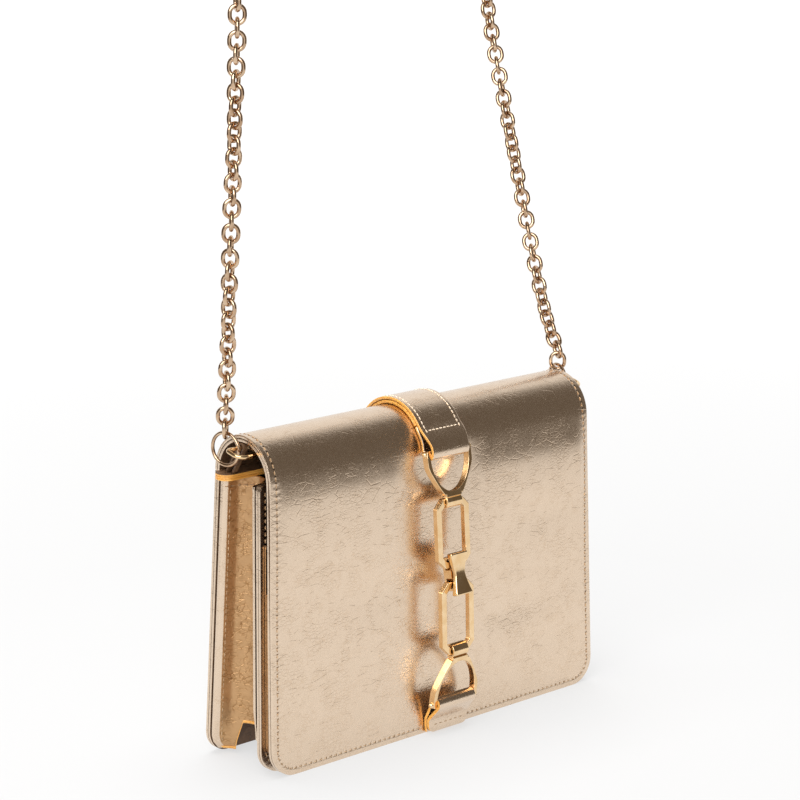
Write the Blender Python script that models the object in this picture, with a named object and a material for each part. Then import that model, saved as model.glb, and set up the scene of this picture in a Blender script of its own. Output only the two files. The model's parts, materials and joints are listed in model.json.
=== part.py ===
# Leather clutch bag with a chain: the body, the flap, the hardware strip on the flap and the chain.
# Lengths below are in millimetres. X runs along the bag, -Y is the flap's side, +Z is up.
# Sizes are set in the bag's own frame, whose XZ plane is the middle of the crown over the top.

import math

import bmesh
import bpy
from mathutils import Vector

MM = 0.001
GAP = 0.3

# Bag body
BAG_WIDTH = 200.0
BOTTOM_FLARE = 2.9
CROWN_LINE_Z = 135.4
CROWN_RADIUS = 19.4
BACK_FOOT_Y = 26.6
FLAP_FOOT_Y = -22.5
LEATHER = 1.35
FLAP_CORNER = 13.0
PANEL_CORNER = 11.0
CROWN_STEPS = 14

# Front panel under the flap
FRONT_TOP_Z = 134.0
FRONT_SPACE = 7.2
FRONT_TOP_Y = FRONT_SPACE - CROWN_RADIUS
FRONT_FOOT_Y = -14.2
FRONT_TOP_CORNER = 3.0

# Card slots on the front panel, from the highest edge down
SLOT_TOP_Z = 106.0
SLOT_STEP = 21.5
SLOT_COUNT = 3
SLOT_LEAF = 0.8
SLOT_FOOT_Z = 9.0
SLOT_SIDE_MARGIN = 2.2
SLOT_FOOT_ROUNDING = 3.0
SLOT_FOOT_INSET = 2.0

# Gussets
GUSSET_THICKNESS = 1.2
GUSSET_TOP_Z = 132.7
GUSSET_EDGE_INSET = 0.4
GUSSET_FLANGE = 6.0
GUSSET_FLANGE_SHARE = 2 / 18
GUSSET_DEPTH = 7.5
GUSSET_STEP_Z = 15.5
GUSSET_FOOT_Z = 2.2
GUSSET_SLANT_START = 4 / 18
GUSSET_SLANT_END = 7 / 18
GUSSET_COLUMNS = 18
GUSSET_ROWS = 6

# Base strip and slip pocket
BASE_Z = 17.5
BASE_THICKNESS = 1.5
BASE_SAG = 1.2
BASE_END_MARGIN = 17.0
POCKET_LEAF = 1.0
POCKET_TOP_Z = 101.0
POCKET_FOOT_Z = 27.0
POCKET_HALF_WIDTH = 79.0

# Ring tabs and keepers
TAB_THICKNESS = 3.0
TAB_DEPTH = 10.4
TAB_OVERHANG = 5.2
TAB_REACH = BAG_WIDTH / 2 + TAB_OVERHANG
TAB_INNER_END = 62.0
TAB_ROUNDING = 5.0
KEEPER_LEATHER = 1.0
KEEPER_WIDTH = 2.6
KEEPER_FOOT_Y = 9.0

# D rings and round rings
D_BAR_Y = 0.45
D_BAR_DROP = 5.6
D_BAR_Z = CROWN_LINE_Z + CROWN_RADIUS - D_BAR_DROP
D_WIRE = 0.85
D_DEPTH = 8.6
D_TILT = 14.0
D_INSET = 9.0
D_LENGTH = 12.0
D_INNER_X = TAB_REACH - D_INSET
D_OUTER_X = D_INNER_X + D_LENGTH
D_BAR_CORNER = 1.5
D_BOW_CORNER = 4.2
ROUND_RING_RADIUS = 7.4
ROUND_RING_WIRE = 0.9
ROUND_RING_SEAT = 8.6
ROUND_RING_X = D_INNER_X + ROUND_RING_SEAT
ROUND_RING_TURN = 12.0
ROUND_RING_FALL = 8.6

# Chain: its end links are real, and the length between them is one round solid as wide as a link
LINK_LENGTH = 9.9
LINK_WIDTH = 8.6
LINK_WIRE = 0.92
LEFT_LINK_TURN = 42.0
RIGHT_LINK_TURN = -42.0
CHAIN_POINT_STEP = 21.0

# Strap over the crown, a little to the right of the flap's middle
STRIP_X = 1.3
STRAP_HALF_WIDTH = 12.7
STRAP_LEATHER = 1.5
STRAP_BACK_ANGLE = 14.0
STRAP_ROW_ANGLE = 145.0
FOLD_HALF_WIDTH = 11.5
FOLD_SHOULDER_RISE = 10.0
FOLD_NARROW_RISE = 3.0

# Hardware strip: pivots in the YZ plane
UPPER_BAR = (-24.6, 135.4)
UPPER_LINK_TOP = (-27.2, 112.0)
UPPER_LINK_FOOT = (-29.1, 82.0)
LOWER_LINK_TOP = (-31.0, 73.0)
LOWER_LINK_FOOT = (-31.8, 40.8)
LOWER_BAR = (-29.4, 15.6)
BAR_RADIUS = 1.5
FOLD_CLEARANCE = 0.3

# Stirrups
STIRRUP_PLATE = 3.6
STIRRUP_HALF_WIDTH = 13.8
STIRRUP_RIM = 1.9
STIRRUP_CORNER = 1.0
STIRRUP_EDGE = 0.5
STIRRUP_THROAT = 3.4
NECK_HALF_WIDTH = 4.7
CURL_WALL = 1.2
CURL_OVERLAP = 0.15
CURL_CLEARANCE = 0.35
OPEN_CURL_CLEARANCE = 0.55

# Long links
LINK_BAR = 1.5
LONG_LINK_HALF_WIDTH = 10.15
LONG_LINK_CHAMFER = 3.4

# Connector
COVER_THICKNESS = 2.4
COVER_RISE = 1.3
COVER_EDGE = 0.4
COVER_END_HALF_WIDTH = 5.5
COVER_WAIST_HALF_WIDTH = 3.2
COVER_OVERHANG = 5.4
CORE_THICKNESS = 1.3
CORE_HALF_WIDTH = 4.0
CORE_LIP_GAP = 0.4
POST_HEIGHT = 4.0

# Lower tab
LOWER_TAB_FOOT_Z = 0.8
LOWER_TAB_SHOULDER = 12.3
LOWER_TAB_SHOULDER_Z = 7.0
TAB_FOLD_BACK_ANGLE = 8.0
TAB_FOLD_FRONT_ANGLE = 208.0
TAB_FOLD_STEPS = 10
LOWER_TAB_FOOT_HALF_WIDTH = 12.0

# Magnetic closure
SNAP_RADIUS = 6.5
SNAP_THICKNESS = 1.3
SNAP_Z = 120.0
SNAP_EDGE = 0.5

# The cover's foot is the foremost point, so the origin's XZ plane halves the reach between it and the back foot.
BAR_CORNER = LINK_BAR / math.cos(math.pi / 8)
COVER_FACE = BAR_CORNER + GAP + COVER_THICKNESS + COVER_RISE
COVER_LEAN = math.atan2(UPPER_LINK_FOOT[0] - LOWER_LINK_TOP[0], UPPER_LINK_FOOT[1] - LOWER_LINK_TOP[1])
COVER_REACH = COVER_OVERHANG * math.sin(COVER_LEAN) + COVER_FACE * math.cos(COVER_LEAN)
MIDDLE_SHIFT = (COVER_REACH - LOWER_LINK_TOP[0] - BACK_FOOT_Y) / 2


# Materials


def finish(name, colour, metallic, roughness):
    material = bpy.data.materials.new(name)
    material.use_nodes = True
    shader = material.node_tree.nodes["Principled BSDF"]
    shader.inputs["Base Color"].default_value = (*colour, 1.0)
    shader.inputs["Metallic"].default_value = metallic
    shader.inputs["Roughness"].default_value = roughness
    material.diffuse_color = (*colour, 1.0)
    return material


def gold_leather(name):
    return finish(name, (0.72, 0.56, 0.40), 0.75, 0.38)


def lining_leather(name):
    return finish(name, (0.42, 0.30, 0.20), 0.25, 0.6)


def painted_leather(name):
    return finish(name, (0.80, 0.42, 0.12), 0.0, 0.45)


def light_gold(name):
    return finish(name, (0.88, 0.68, 0.46), 1.0, 0.12)


# Mesh helpers


def world(x, y, z):
    return Vector((x, y + MIDDLE_SHIFT, z)) * MM


def make_object(name, points, faces, material, pivot=(0.0, 0.0, 0.0), smooth=False):
    origin = world(*pivot)
    mesh = bpy.data.meshes.new(name)
    mesh.from_pydata([world(*p) - origin for p in points], [], faces)
    tidy = bmesh.new()
    tidy.from_mesh(mesh)
    bmesh.ops.recalc_face_normals(tidy, faces=tidy.faces)
    tidy.to_mesh(mesh)
    tidy.free()
    mesh.materials.append(material)
    if smooth:
        mesh.shade_smooth()
        mesh.set_sharp_from_angle(angle=math.radians(40))
    piece = bpy.data.objects.new(name, mesh)
    piece.location = origin
    bpy.context.scene.collection.objects.link(piece)
    return piece


def loft_faces(ring_count, ring_size, cyclic, first=0):
    faces = []
    last = ring_count if cyclic else ring_count - 1
    for i in range(last):
        a = first + i * ring_size
        b = first + ((i + 1) % ring_count) * ring_size
        for k in range(ring_size):
            n = (k + 1) % ring_size
            faces.append((a + k, a + n, b + n, b + k))
    if not cyclic:
        faces.append(tuple(first + k for k in range(ring_size)))
        end = first + (ring_count - 1) * ring_size
        faces.append(tuple(end + k for k in reversed(range(ring_size))))
    return faces


def loft(name, rings, material, cyclic=False, pivot=(0.0, 0.0, 0.0), smooth=False):
    points = [p for ring in rings for p in ring]
    faces = loft_faces(len(rings), len(rings[0]), cyclic)
    return make_object(name, points, faces, material, pivot, smooth)


def path_normals(path):
    """Left-hand unit normals of a path of (y, z) points, averaged between neighbouring runs."""
    normals = []
    for i in range(len(path)):
        a = path[max(i - 1, 0)]
        b = path[min(i + 1, len(path) - 1)]
        run = Vector((b[0] - a[0], b[1] - a[1])).normalized()
        normals.append(Vector((-run.y, run.x)))
    return normals


def ribbon_rings(path, half_widths, thickness):
    """Rectangular sections of the hardware strip's leather, along a (y, z) path in the middle of its thickness."""
    rings = []
    for (y, z), normal, w in zip(path, path_normals(path), half_widths):
        shift = normal * (thickness / 2)
        a = (y - shift.x, z - shift.y)
        b = (y + shift.x, z + shift.y)
        left = STRIP_X - w
        right = STRIP_X + w
        rings.append([(left, *a), (right, *a), (right, *b), (left, *b)])
    return rings


def union(piece, other):
    """Joins another solid to a piece and hides the joined one."""
    other.hide_render = True
    other.display_type = "WIRE"
    join = piece.modifiers.new("join " + other.name, "BOOLEAN")
    join.operation = "UNION"
    join.object = other


# Body outlines


def half_width(z):
    return BAG_WIDTH / 2 + BOTTOM_FLARE * (CROWN_LINE_Z - z) / CROWN_LINE_Z


def back_y(z):
    return CROWN_RADIUS + (BACK_FOOT_Y - CROWN_RADIUS) * (CROWN_LINE_Z - z) / CROWN_LINE_Z


def flap_y(z):
    return -CROWN_RADIUS + (FLAP_FOOT_Y + CROWN_RADIUS) * (CROWN_LINE_Z - z) / CROWN_LINE_Z


def front_y(z):
    return FRONT_TOP_Y + (FRONT_FOOT_Y - FRONT_TOP_Y) * (FRONT_TOP_Z - z) / FRONT_TOP_Z


def corner_heights(radius, steps=7):
    """Heights at which a rounded lower corner has its points, from its start down to the foot."""
    return [radius * (1 - math.sin(0.5 * math.pi * i / steps)) for i in range(steps + 1)]


def corner_inset(z, radius):
    """How far a rounded lower corner stands in from the side at a height."""
    if z >= radius:
        return 0.0
    return radius - math.sqrt(max(radius**2 - (radius - z) ** 2, 0.0))


def sheet(name, heights, y_of, widths, near, far, material):
    """A flat leather layer: its outer face follows y_of, and near and far are depths behind it, along Y."""
    rings = []
    for z, w in zip(heights, widths):
        rings.append(
            [(-w, y_of(z) + near, z), (w, y_of(z) + near, z), (w, y_of(z) + far, z), (-w, y_of(z) + far, z)]
        )
    return loft(name, rings, material)


def body_panel(name, top, y_of, near, far, material, top_corner=0.0):
    heights = [top]
    if top_corner:
        heights = [top - top_corner * (1 - math.cos(math.radians(a))) for a in (0, 30, 60, 90)]
    heights += [top * 0.5] + corner_heights(PANEL_CORNER)
    widths = []
    for z in heights:
        below = top - z
        inset = corner_inset(z, PANEL_CORNER)
        if below < top_corner:
            inset += top_corner - math.sqrt(top_corner**2 - (top_corner - below) ** 2)
        widths.append(half_width(z) - inset)
    return sheet(name, heights, y_of, widths, near, far, material)


def build_back():
    top = CROWN_LINE_Z - GAP / 2
    body_panel("back_panel", top, back_y, 0.0, -LEATHER, gold_leather("back leather"))
    body_panel("back_lining", top, back_y, -LEATHER - GAP, -2 * LEATHER - GAP, gold_leather("back lining"))


def build_front():
    body_panel(
        "front_panel", FRONT_TOP_Z, front_y, 0.0, LEATHER, gold_leather("front leather"), FRONT_TOP_CORNER
    )
    body_panel(
        "front_lining",
        FRONT_TOP_Z,
        front_y,
        LEATHER + GAP,
        2 * LEATHER + GAP,
        lining_leather("front lining"),
        FRONT_TOP_CORNER,
    )


def build_card_slots():
    """Leaves that overlap like tiles, each with its upper edge a step below the one behind it."""
    for i in range(SLOT_COUNT):
        top = SLOT_TOP_Z - SLOT_STEP * i
        near = -GAP - i * (SLOT_LEAF + GAP)
        heights = [top, (top + SLOT_FOOT_Z) / 2, SLOT_FOOT_Z + SLOT_FOOT_ROUNDING, SLOT_FOOT_Z]
        widths = [half_width(z) - SLOT_SIDE_MARGIN - corner_inset(z, PANEL_CORNER) for z in heights]
        widths[-1] -= SLOT_FOOT_INSET
        name = f"card_slot_{i + 1}"
        sheet(name, heights, front_y, widths, near, near - SLOT_LEAF, gold_leather(name))


def build_slip_pocket():
    depth = -2 * LEATHER - 2 * GAP
    heights = [POCKET_TOP_Z, (POCKET_TOP_Z + POCKET_FOOT_Z) / 2, POCKET_FOOT_Z]
    widths = [POCKET_HALF_WIDTH] * 3
    sheet("slip_pocket", heights, back_y, widths, depth, depth - POCKET_LEAF, lining_leather("pocket"))


# Gussets and base


def gusset_line(share, z):
    """(inset from the side, y) of a gusset's middle surface: a flange on each panel and a hollow between them."""
    lining = 2 * LEATHER + 2 * GAP + GUSSET_THICKNESS / 2
    y_back = back_y(z) - lining
    y_front = front_y(z) + lining
    flange = GUSSET_FLANGE_SHARE
    if share <= flange:
        return GUSSET_EDGE_INSET + GUSSET_FLANGE * share / flange, y_back
    if share >= 1 - flange:
        return GUSSET_EDGE_INSET + GUSSET_FLANGE * (1 - share) / flange, y_front
    turn = math.pi * (share - flange) / (1 - 2 * flange)
    y = y_back + (y_front - y_back) * (1 - math.cos(turn)) / 2
    return GUSSET_EDGE_INSET + GUSSET_FLANGE + GUSSET_DEPTH * math.sin(turn), y


def gusset_foot(share):
    """The stepped lower edge: down on the back panel, up a slant, then level to the front panel."""
    rise = (share - GUSSET_SLANT_START) / (GUSSET_SLANT_END - GUSSET_SLANT_START)
    return GUSSET_FOOT_Z + (GUSSET_STEP_Z - GUSSET_FOOT_Z) * min(max(rise, 0.0), 1.0)


def gusset_point(share, height, side, layer):
    """A point of one face of a gusset. share runs from the back panel to the front, and height from foot to top."""
    foot = gusset_foot(share)
    z = foot + (GUSSET_TOP_Z - foot) * height
    step = 0.01
    before = Vector(gusset_line(max(share - step, 0.0), z))
    after = Vector(gusset_line(min(share + step, 1.0), z))
    along = (after - before).normalized()
    inset, y = gusset_line(share, z)
    inset += layer * GUSSET_THICKNESS / 2 * along.y
    y -= layer * GUSSET_THICKNESS / 2 * along.x
    if share < GUSSET_FLANGE_SHARE:
        inset += corner_inset(z, PANEL_CORNER)
    return (side * (half_width(z) - inset), y, z)


def build_gusset(name, side):
    """Closed sections across the leather, one for each column from the back panel to the front."""
    rings = []
    heights = [i / GUSSET_ROWS for i in range(GUSSET_ROWS + 1)]
    for i in range(GUSSET_COLUMNS + 1):
        share = i / GUSSET_COLUMNS
        ring = [gusset_point(share, h, side, -1) for h in heights]
        ring += [gusset_point(share, h, side, 1) for h in reversed(heights)]
        rings.append(ring)
    return loft(name, rings, gold_leather(name))


def build_base():
    """The floor of the compartment, sewn between the two panels and sagging a little."""
    depth = 2 * LEATHER + 2 * GAP
    y_front = front_y(BASE_Z) + depth
    y_back = back_y(BASE_Z) - depth
    end = BAG_WIDTH / 2 - BASE_END_MARGIN
    steps = 6
    rings = []
    for i in range(steps + 1):
        share = i / steps
        y = y_front + (y_back - y_front) * share
        z = BASE_Z - BASE_SAG * math.sin(math.pi * share)
        rings.append([(-end, y, z), (end, y, z), (end, y, z - BASE_THICKNESS), (-end, y, z - BASE_THICKNESS)])
    loft("base_strip", rings, lining_leather("base"))


# Ring tabs, keepers and rings


def tab_top():
    return GUSSET_TOP_Z + GAP + TAB_THICKNESS


def build_ring_tab(name, side):
    """A painted leather strip along the back lining, with a rounded outer end past the bag's end."""
    back = CROWN_RADIUS - 2 * LEATHER - 2 * GAP
    front = back - TAB_DEPTH
    outline = [(TAB_INNER_END, back), (TAB_INNER_END, front)]
    for sign, y, start in ((1, front, 270), (-1, back, 0)):
        centre_y = y + sign * TAB_ROUNDING
        for k in range(6):
            angle = math.radians(start + 18 * k)
            outline.append(
                (
                    TAB_REACH - TAB_ROUNDING + TAB_ROUNDING * math.cos(angle),
                    centre_y + TAB_ROUNDING * math.sin(angle),
                )
            )
    low = GUSSET_TOP_Z + GAP
    rings = [[(side * x, y, z) for x, y in outline] for z in (low, tab_top())]
    return loft(name, rings, painted_leather(name))


def keeper_path(steps=10):
    """The strip's (y, z) path: it leans from its front foot to the D ring's bar, goes round it and back down."""
    radius = D_WIRE + GAP + KEEPER_LEATHER / 2
    lean = math.atan2(KEEPER_FOOT_Y - D_BAR_Y, D_BAR_Z - tab_top())
    foot = tab_top() + GAP + KEEPER_LEATHER / 2 * math.sin(lean)
    drop = D_BAR_Z - foot
    arc = []
    for k in range(steps + 1):
        angle = lean + math.pi * (1 - k / steps)
        arc.append((D_BAR_Y + radius * math.cos(angle), D_BAR_Z + radius * math.sin(angle)))
    feet = [D_BAR_Y + drop * math.tan(lean) + side * radius / math.cos(lean) for side in (-1, 1)]
    return [(feet[0], foot), *arc, (feet[1], foot)]


def build_keeper(name, side):
    path = keeper_path()
    centre = D_INNER_X + D_BAR_CORNER + GAP + KEEPER_WIDTH / 2
    rings = []
    normals = path_normals(path)
    for (y, z), n in zip(path, normals):
        ring = []
        for dx, d in ((-1, -0.5), (1, -0.5), (1, 0.5), (-1, 0.5)):
            shift = d * KEEPER_LEATHER
            ring.append((side * (centre + dx * KEEPER_WIDTH / 2), y + shift * n.x, z + shift * n.y))
        rings.append(ring)
    return loft(name, rings, lining_leather(name))


def section_loop(path, radius, sides):
    """Round sections on a closed flat path. path holds (point, outward direction, plane normal)."""
    rings = []
    for point, outward, normal in path:
        ring = []
        for k in range(sides):
            angle = 2 * math.pi * k / sides
            shift = outward * (radius * math.cos(angle)) + normal * (radius * math.sin(angle))
            ring.append(tuple(point + shift))
        rings.append(ring)
    return rings


def circle_path(centre, across, up, radius, steps):
    """A circle in the plane of two unit vectors."""
    normal = across.cross(up)
    path = []
    for k in range(steps):
        angle = 2 * math.pi * k / steps
        out = across * math.cos(angle) + up * math.sin(angle)
        path.append((centre + out * radius, out, normal))
    return path


def rounded_box_path(centre, across, up, half_across, half_up, corners, corner_steps=4):
    """A rectangle in the plane of two unit vectors, with its upper and its lower corners each rounded."""
    normal = across.cross(up)
    path = []
    for quarter in range(4):
        corner = corners[quarter // 2]
        sign_a = 1 if quarter in (0, 3) else -1
        sign_u = 1 if quarter in (0, 1) else -1
        hub = centre + across * (sign_a * (half_across - corner)) + up * (sign_u * (half_up - corner))
        for k in range(corner_steps + 1):
            angle = math.pi / 2 * (quarter + k / corner_steps)
            out = across * math.cos(angle) + up * math.sin(angle)
            path.append((hub + out * corner, out, normal))
    return path


def build_d_ring(name, side):
    """A D of round wire: its bar lies in the keeper, and its bow points to the front and a little down."""
    back = Vector((0, math.cos(math.radians(D_TILT)), math.sin(math.radians(D_TILT))))
    bar = Vector((side * (D_INNER_X + D_OUTER_X) / 2, D_BAR_Y, D_BAR_Z))
    path = rounded_box_path(
        bar - back * (D_DEPTH / 2),
        Vector((1, 0, 0)),
        back,
        (D_OUTER_X - D_INNER_X) / 2,
        D_DEPTH / 2,
        (D_BAR_CORNER, D_BOW_CORNER),
    )
    rings = section_loop(path, D_WIRE, 8)
    return loft(name, rings, light_gold(name), cyclic=True, pivot=tuple(bar), smooth=True)


def ring_centre(side):
    """The middle of a round ring whose wire rests on the D ring's bar, with the ring behind the bar."""
    reach = ROUND_RING_RADIUS * math.cos(math.radians(ROUND_RING_TURN))
    seat = reach - ROUND_RING_WIRE - GAP - D_WIRE
    fall = math.radians(ROUND_RING_FALL)
    y = D_BAR_Y + seat * math.cos(fall)
    return (side * ROUND_RING_X, y, D_BAR_Z - seat * math.sin(fall))


def chain_pivot():
    """A point of the chain's axis, which runs along X through the middles of both round rings."""
    _, y, z = ring_centre(1)
    return (0.0, y, z)


def build_round_ring(name, side):
    turn = math.radians(ROUND_RING_TURN)
    across = Vector((side * math.sin(turn), math.cos(turn), 0))
    path = circle_path(Vector(ring_centre(side)), across, Vector((0, 0, 1)), ROUND_RING_RADIUS, 28)
    rings = section_loop(path, ROUND_RING_WIRE, 8)
    return loft(name, rings, light_gold(name), cyclic=True, pivot=chain_pivot(), smooth=True)


# Chain


def link_centre(side):
    """The middle of the end link that hangs in a round ring, with its lower bend under the ring's wire."""
    x, y, z = ring_centre(side)
    bend = z + ROUND_RING_RADIUS - ROUND_RING_WIRE - GAP - LINK_WIRE
    return (x, y, bend + LINK_LENGTH / 2 - LINK_WIRE)


def build_end_link(name, side, turn):
    """An oval link that stands in the round ring, turned about Z."""
    angle = math.radians(turn)
    across = Vector((math.cos(angle), math.sin(angle), 0))
    up = Vector((0, 0, 1))
    bend = LINK_WIDTH / 2 - LINK_WIRE
    half_length = LINK_LENGTH / 2 - LINK_WIRE
    path = rounded_box_path(Vector(link_centre(side)), across, up, bend, half_length, (bend, bend))
    rings = section_loop(path, LINK_WIRE, 8)
    return loft(name, rings, light_gold(name), cyclic=True, pivot=chain_pivot(), smooth=True)


def chain_end(side):
    """Where the chain's round solid starts, just over its end link."""
    x, y, z = link_centre(side)
    return (x, y, z + LINK_LENGTH / 2 + GAP)


def chain_route():
    """The chain's own points: up the left strand, over the top and down the right strand."""
    return [
        chain_end(-1),
        (-105.5, 3.6, 174.0),
        (-106.6, 0.6, 198.0),
        (-107.3, -2.9, 238.0),
        (-107.9, -7.0, 282.0),
        (-108.2, -10.6, 330.0),
        (-106.5, -10.5, 362.0),
        (-95.0, -5.5, 389.0),
        (-68.0, 4.5, 407.0),
        (-34.0, 15.5, 415.0),
        (0.0, 26.5, 417.0),
        (34.0, 37.5, 414.0),
        (68.0, 48.5, 404.0),
        (95.0, 58.0, 383.0),
        (106.5, 62.5, 354.0),
        (108.2, 59.0, 322.0),
        (107.9, 46.5, 277.0),
        (107.3, 33.6, 234.0),
        (106.6, 20.4, 192.0),
        (105.8, 12.6, 174.0),
        chain_end(1),
    ]


def smooth_line(route, steps=16):
    """A curve through every point of the route, with each point's slope set by its neighbours."""
    points = [Vector(p) for p in route]
    ends = [points[0] * 2 - points[1], *points, points[-1] * 2 - points[-2]]
    line = []
    for i in range(1, len(ends) - 2):
        a, b, c, d = ends[i - 1 : i + 3]
        for k in range(steps):
            t = k / steps
            square = t**2 * (2 * a - 5 * b + 4 * c - d)
            cube = t**3 * (3 * b - a - 3 * c + d)
            line.append((2 * b + (c - a) * t + square + cube) / 2)
    return [*line, points[-1]]


def even_points(line, step):
    """Points at equal distances along a line, near a step apart."""
    lengths = [0.0]
    for a, b in zip(line, line[1:]):
        lengths.append(lengths[-1] + (b - a).length)
    count = round(lengths[-1] / step)
    points = []
    i = 0
    for k in range(count):
        wanted = lengths[-1] * k / count
        while lengths[i + 1] < wanted:
            i += 1
        share = (wanted - lengths[i]) / (lengths[i + 1] - lengths[i])
        points.append(line[i].lerp(line[i + 1], share))
    return [*points, line[-1]]


def build_chain():
    points = even_points(smooth_line(chain_route()), CHAIN_POINT_STEP)
    origin = world(*chain_pivot())
    curve = bpy.data.curves.new("chain", "CURVE")
    curve.dimensions = "3D"
    spline = curve.splines.new("POLY")
    spline.points.add(len(points) - 1)
    for spot, point in zip(spline.points, points):
        spot.co = (*(world(*point) - origin), 1.0)
    curve.bevel_depth = LINK_WIDTH / 2 * MM
    curve.bevel_resolution = 2
    curve.use_fill_caps = True
    curve.materials.append(light_gold("chain metal"))
    piece = bpy.data.objects.new("chain", curve)
    piece.location = origin
    bpy.context.scene.collection.objects.link(piece)


# Flap


def crown_point(angle, radius):
    """A point of the crown: 0 degrees is at the back, 90 on top and 180 at the front."""
    turn = math.radians(angle)
    return radius * math.cos(turn), CROWN_LINE_Z + radius * math.sin(turn)


def flap_rings(near, far):
    """Sections of one flap layer, over the crown and down the front. near and far are depths behind its face."""
    rings = []
    top = BAG_WIDTH / 2
    for i in range(CROWN_STEPS + 1):
        angle = 180.0 * i / CROWN_STEPS
        lift = GAP / 2 if i == 0 else 0.0
        ring = []
        for x, depth in ((-top, near), (top, near), (top, far), (-top, far)):
            y, z = crown_point(angle, CROWN_RADIUS - depth)
            ring.append((x, y, z + lift))
        rings.append(ring)
    for z in [CROWN_LINE_Z * 0.5, *corner_heights(FLAP_CORNER)]:
        w = half_width(z) - corner_inset(z, FLAP_CORNER)
        y = flap_y(z)
        rings.append([(-w, y + near, z), (w, y + near, z), (w, y + far, z), (-w, y + far, z)])
    return rings


def build_flap():
    pivot = (0.0, CROWN_RADIUS, CROWN_LINE_Z)
    loft("flap_panel", flap_rings(0.0, LEATHER), gold_leather("flap leather"), pivot=pivot)
    inner = LEATHER + GAP
    loft("flap_lining", flap_rings(inner, inner + LEATHER), lining_leather("flap lining"), pivot=pivot)


def strap_path():
    """Middle line of the strap: over the crown, swelling out to the fold, round the bar and back up behind."""
    upper = CROWN_RADIUS + 2 * GAP + 1.5 * STRAP_LEATHER
    under = CROWN_RADIUS + GAP + 0.5 * STRAP_LEATHER
    fold = BAR_RADIUS + FOLD_CLEARANCE + STRAP_LEATHER / 2
    front = -UPPER_BAR[0] + fold
    path = []
    for i in range(13):
        angle = STRAP_BACK_ANGLE + (STRAP_ROW_ANGLE - STRAP_BACK_ANGLE) * i / 12
        path.append(crown_point(angle, upper))
    for i in range(1, 6):
        share = i / 5
        swell = share * share * (3 - 2 * share)
        angle = STRAP_ROW_ANGLE + (180.0 - STRAP_ROW_ANGLE) * share
        path.append(crown_point(angle, upper + (front - upper) * swell))
    for i in range(1, 8):
        angle = math.pi + math.pi * i / 8
        path.append((UPPER_BAR[0] + fold * math.cos(angle), UPPER_BAR[1] + fold * math.sin(angle)))
    for i in range(5):
        angle = 180.0 - (180.0 - STRAP_ROW_ANGLE) * i / 4
        path.append(crown_point(angle, under))
    return path


def strap_width(z, is_fold):
    full = STRAP_HALF_WIDTH
    start = CROWN_LINE_Z + FOLD_SHOULDER_RISE
    end = CROWN_LINE_Z + FOLD_NARROW_RISE
    if not is_fold or z >= start:
        return full
    share = min((start - z) / (start - end), 1.0)
    return full + (FOLD_HALF_WIDTH - full) * share


def build_strap():
    path = strap_path()
    widths = [strap_width(z, y < 0) for y, z in path]
    rings = ribbon_rings(path, widths, STRAP_LEATHER)
    pivot = (0.0, CROWN_RADIUS, CROWN_LINE_Z)
    loft("strap", rings, gold_leather("strap leather"), pivot=pivot)
    under = CROWN_RADIUS + GAP + 0.5 * STRAP_LEATHER
    last = STRAP_ROW_ANGLE - math.degrees(GAP * 1.5 / CROWN_RADIUS)
    path = []
    for i in range(11):
        angle = STRAP_BACK_ANGLE + (last - STRAP_BACK_ANGLE) * i / 10
        path.append(crown_point(angle, under))
    widths = [STRAP_HALF_WIDTH] * len(path)
    rings = ribbon_rings(path, widths, STRAP_LEATHER)
    loft("strap_lining", rings, painted_leather("strap lining"), pivot=pivot)


def build_lower_tab():
    """A leather loop: both ends on the flap's lower edge, and the stirrup's bar in its fold."""
    fold = BAR_RADIUS + FOLD_CLEARANCE + STRAP_LEATHER / 2
    back = flap_y(LOWER_TAB_FOOT_Z) - GAP - STRAP_LEATHER / 2
    front = back - STRAP_LEATHER - GAP
    y, z = LOWER_BAR
    shoulder = LOWER_TAB_SHOULDER_Z
    path = [(back, LOWER_TAB_FOOT_Z), (back, shoulder)]
    for i in range(TAB_FOLD_STEPS + 1):
        share = i / TAB_FOLD_STEPS
        angle = math.radians(TAB_FOLD_BACK_ANGLE + (TAB_FOLD_FRONT_ANGLE - TAB_FOLD_BACK_ANGLE) * share)
        path.append((y + fold * math.cos(angle), z + fold * math.sin(angle)))
    path += [(front, shoulder), (front, LOWER_TAB_FOOT_Z)]
    widths = []
    for _, height in path:
        if height > shoulder:
            widths.append(FOLD_HALF_WIDTH)
        elif height > LOWER_TAB_FOOT_Z:
            widths.append(LOWER_TAB_SHOULDER)
        else:
            widths.append(LOWER_TAB_FOOT_HALF_WIDTH)
    rings = ribbon_rings(path, widths, STRAP_LEATHER)
    pivot = (0.0, CROWN_RADIUS, CROWN_LINE_Z)
    loft("lower_tab", rings, gold_leather("tab leather"), pivot=pivot)


def build_snap():
    """Two flat discs of the magnetic closure, one on the front panel and one on the flap's lining."""
    steps = 24
    panel = front_y(SNAP_Z) - GAP
    flap = flap_y(SNAP_Z) + 2 * LEATHER + 2 * GAP
    spots = (("snap_socket", panel, panel - SNAP_THICKNESS), ("snap_disc", flap, flap + SNAP_THICKNESS))
    for name, near, far in spots:
        rings = []
        for y, radius in ((near, SNAP_RADIUS), ((near + 3 * far) / 4, SNAP_RADIUS), (far, SNAP_RADIUS - SNAP_EDGE)):
            ring = []
            for k in range(steps):
                angle = 2 * math.pi * k / steps
                ring.append((radius * math.cos(angle), y, SNAP_Z + radius * math.sin(angle)))
            rings.append(ring)
        pivot = (0.0, CROWN_RADIUS, CROWN_LINE_Z) if name == "snap_disc" else (0.0, 0.0, 0.0)
        loft(name, rings, light_gold(name), pivot=pivot, smooth=True)


# Hardware strip


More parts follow.
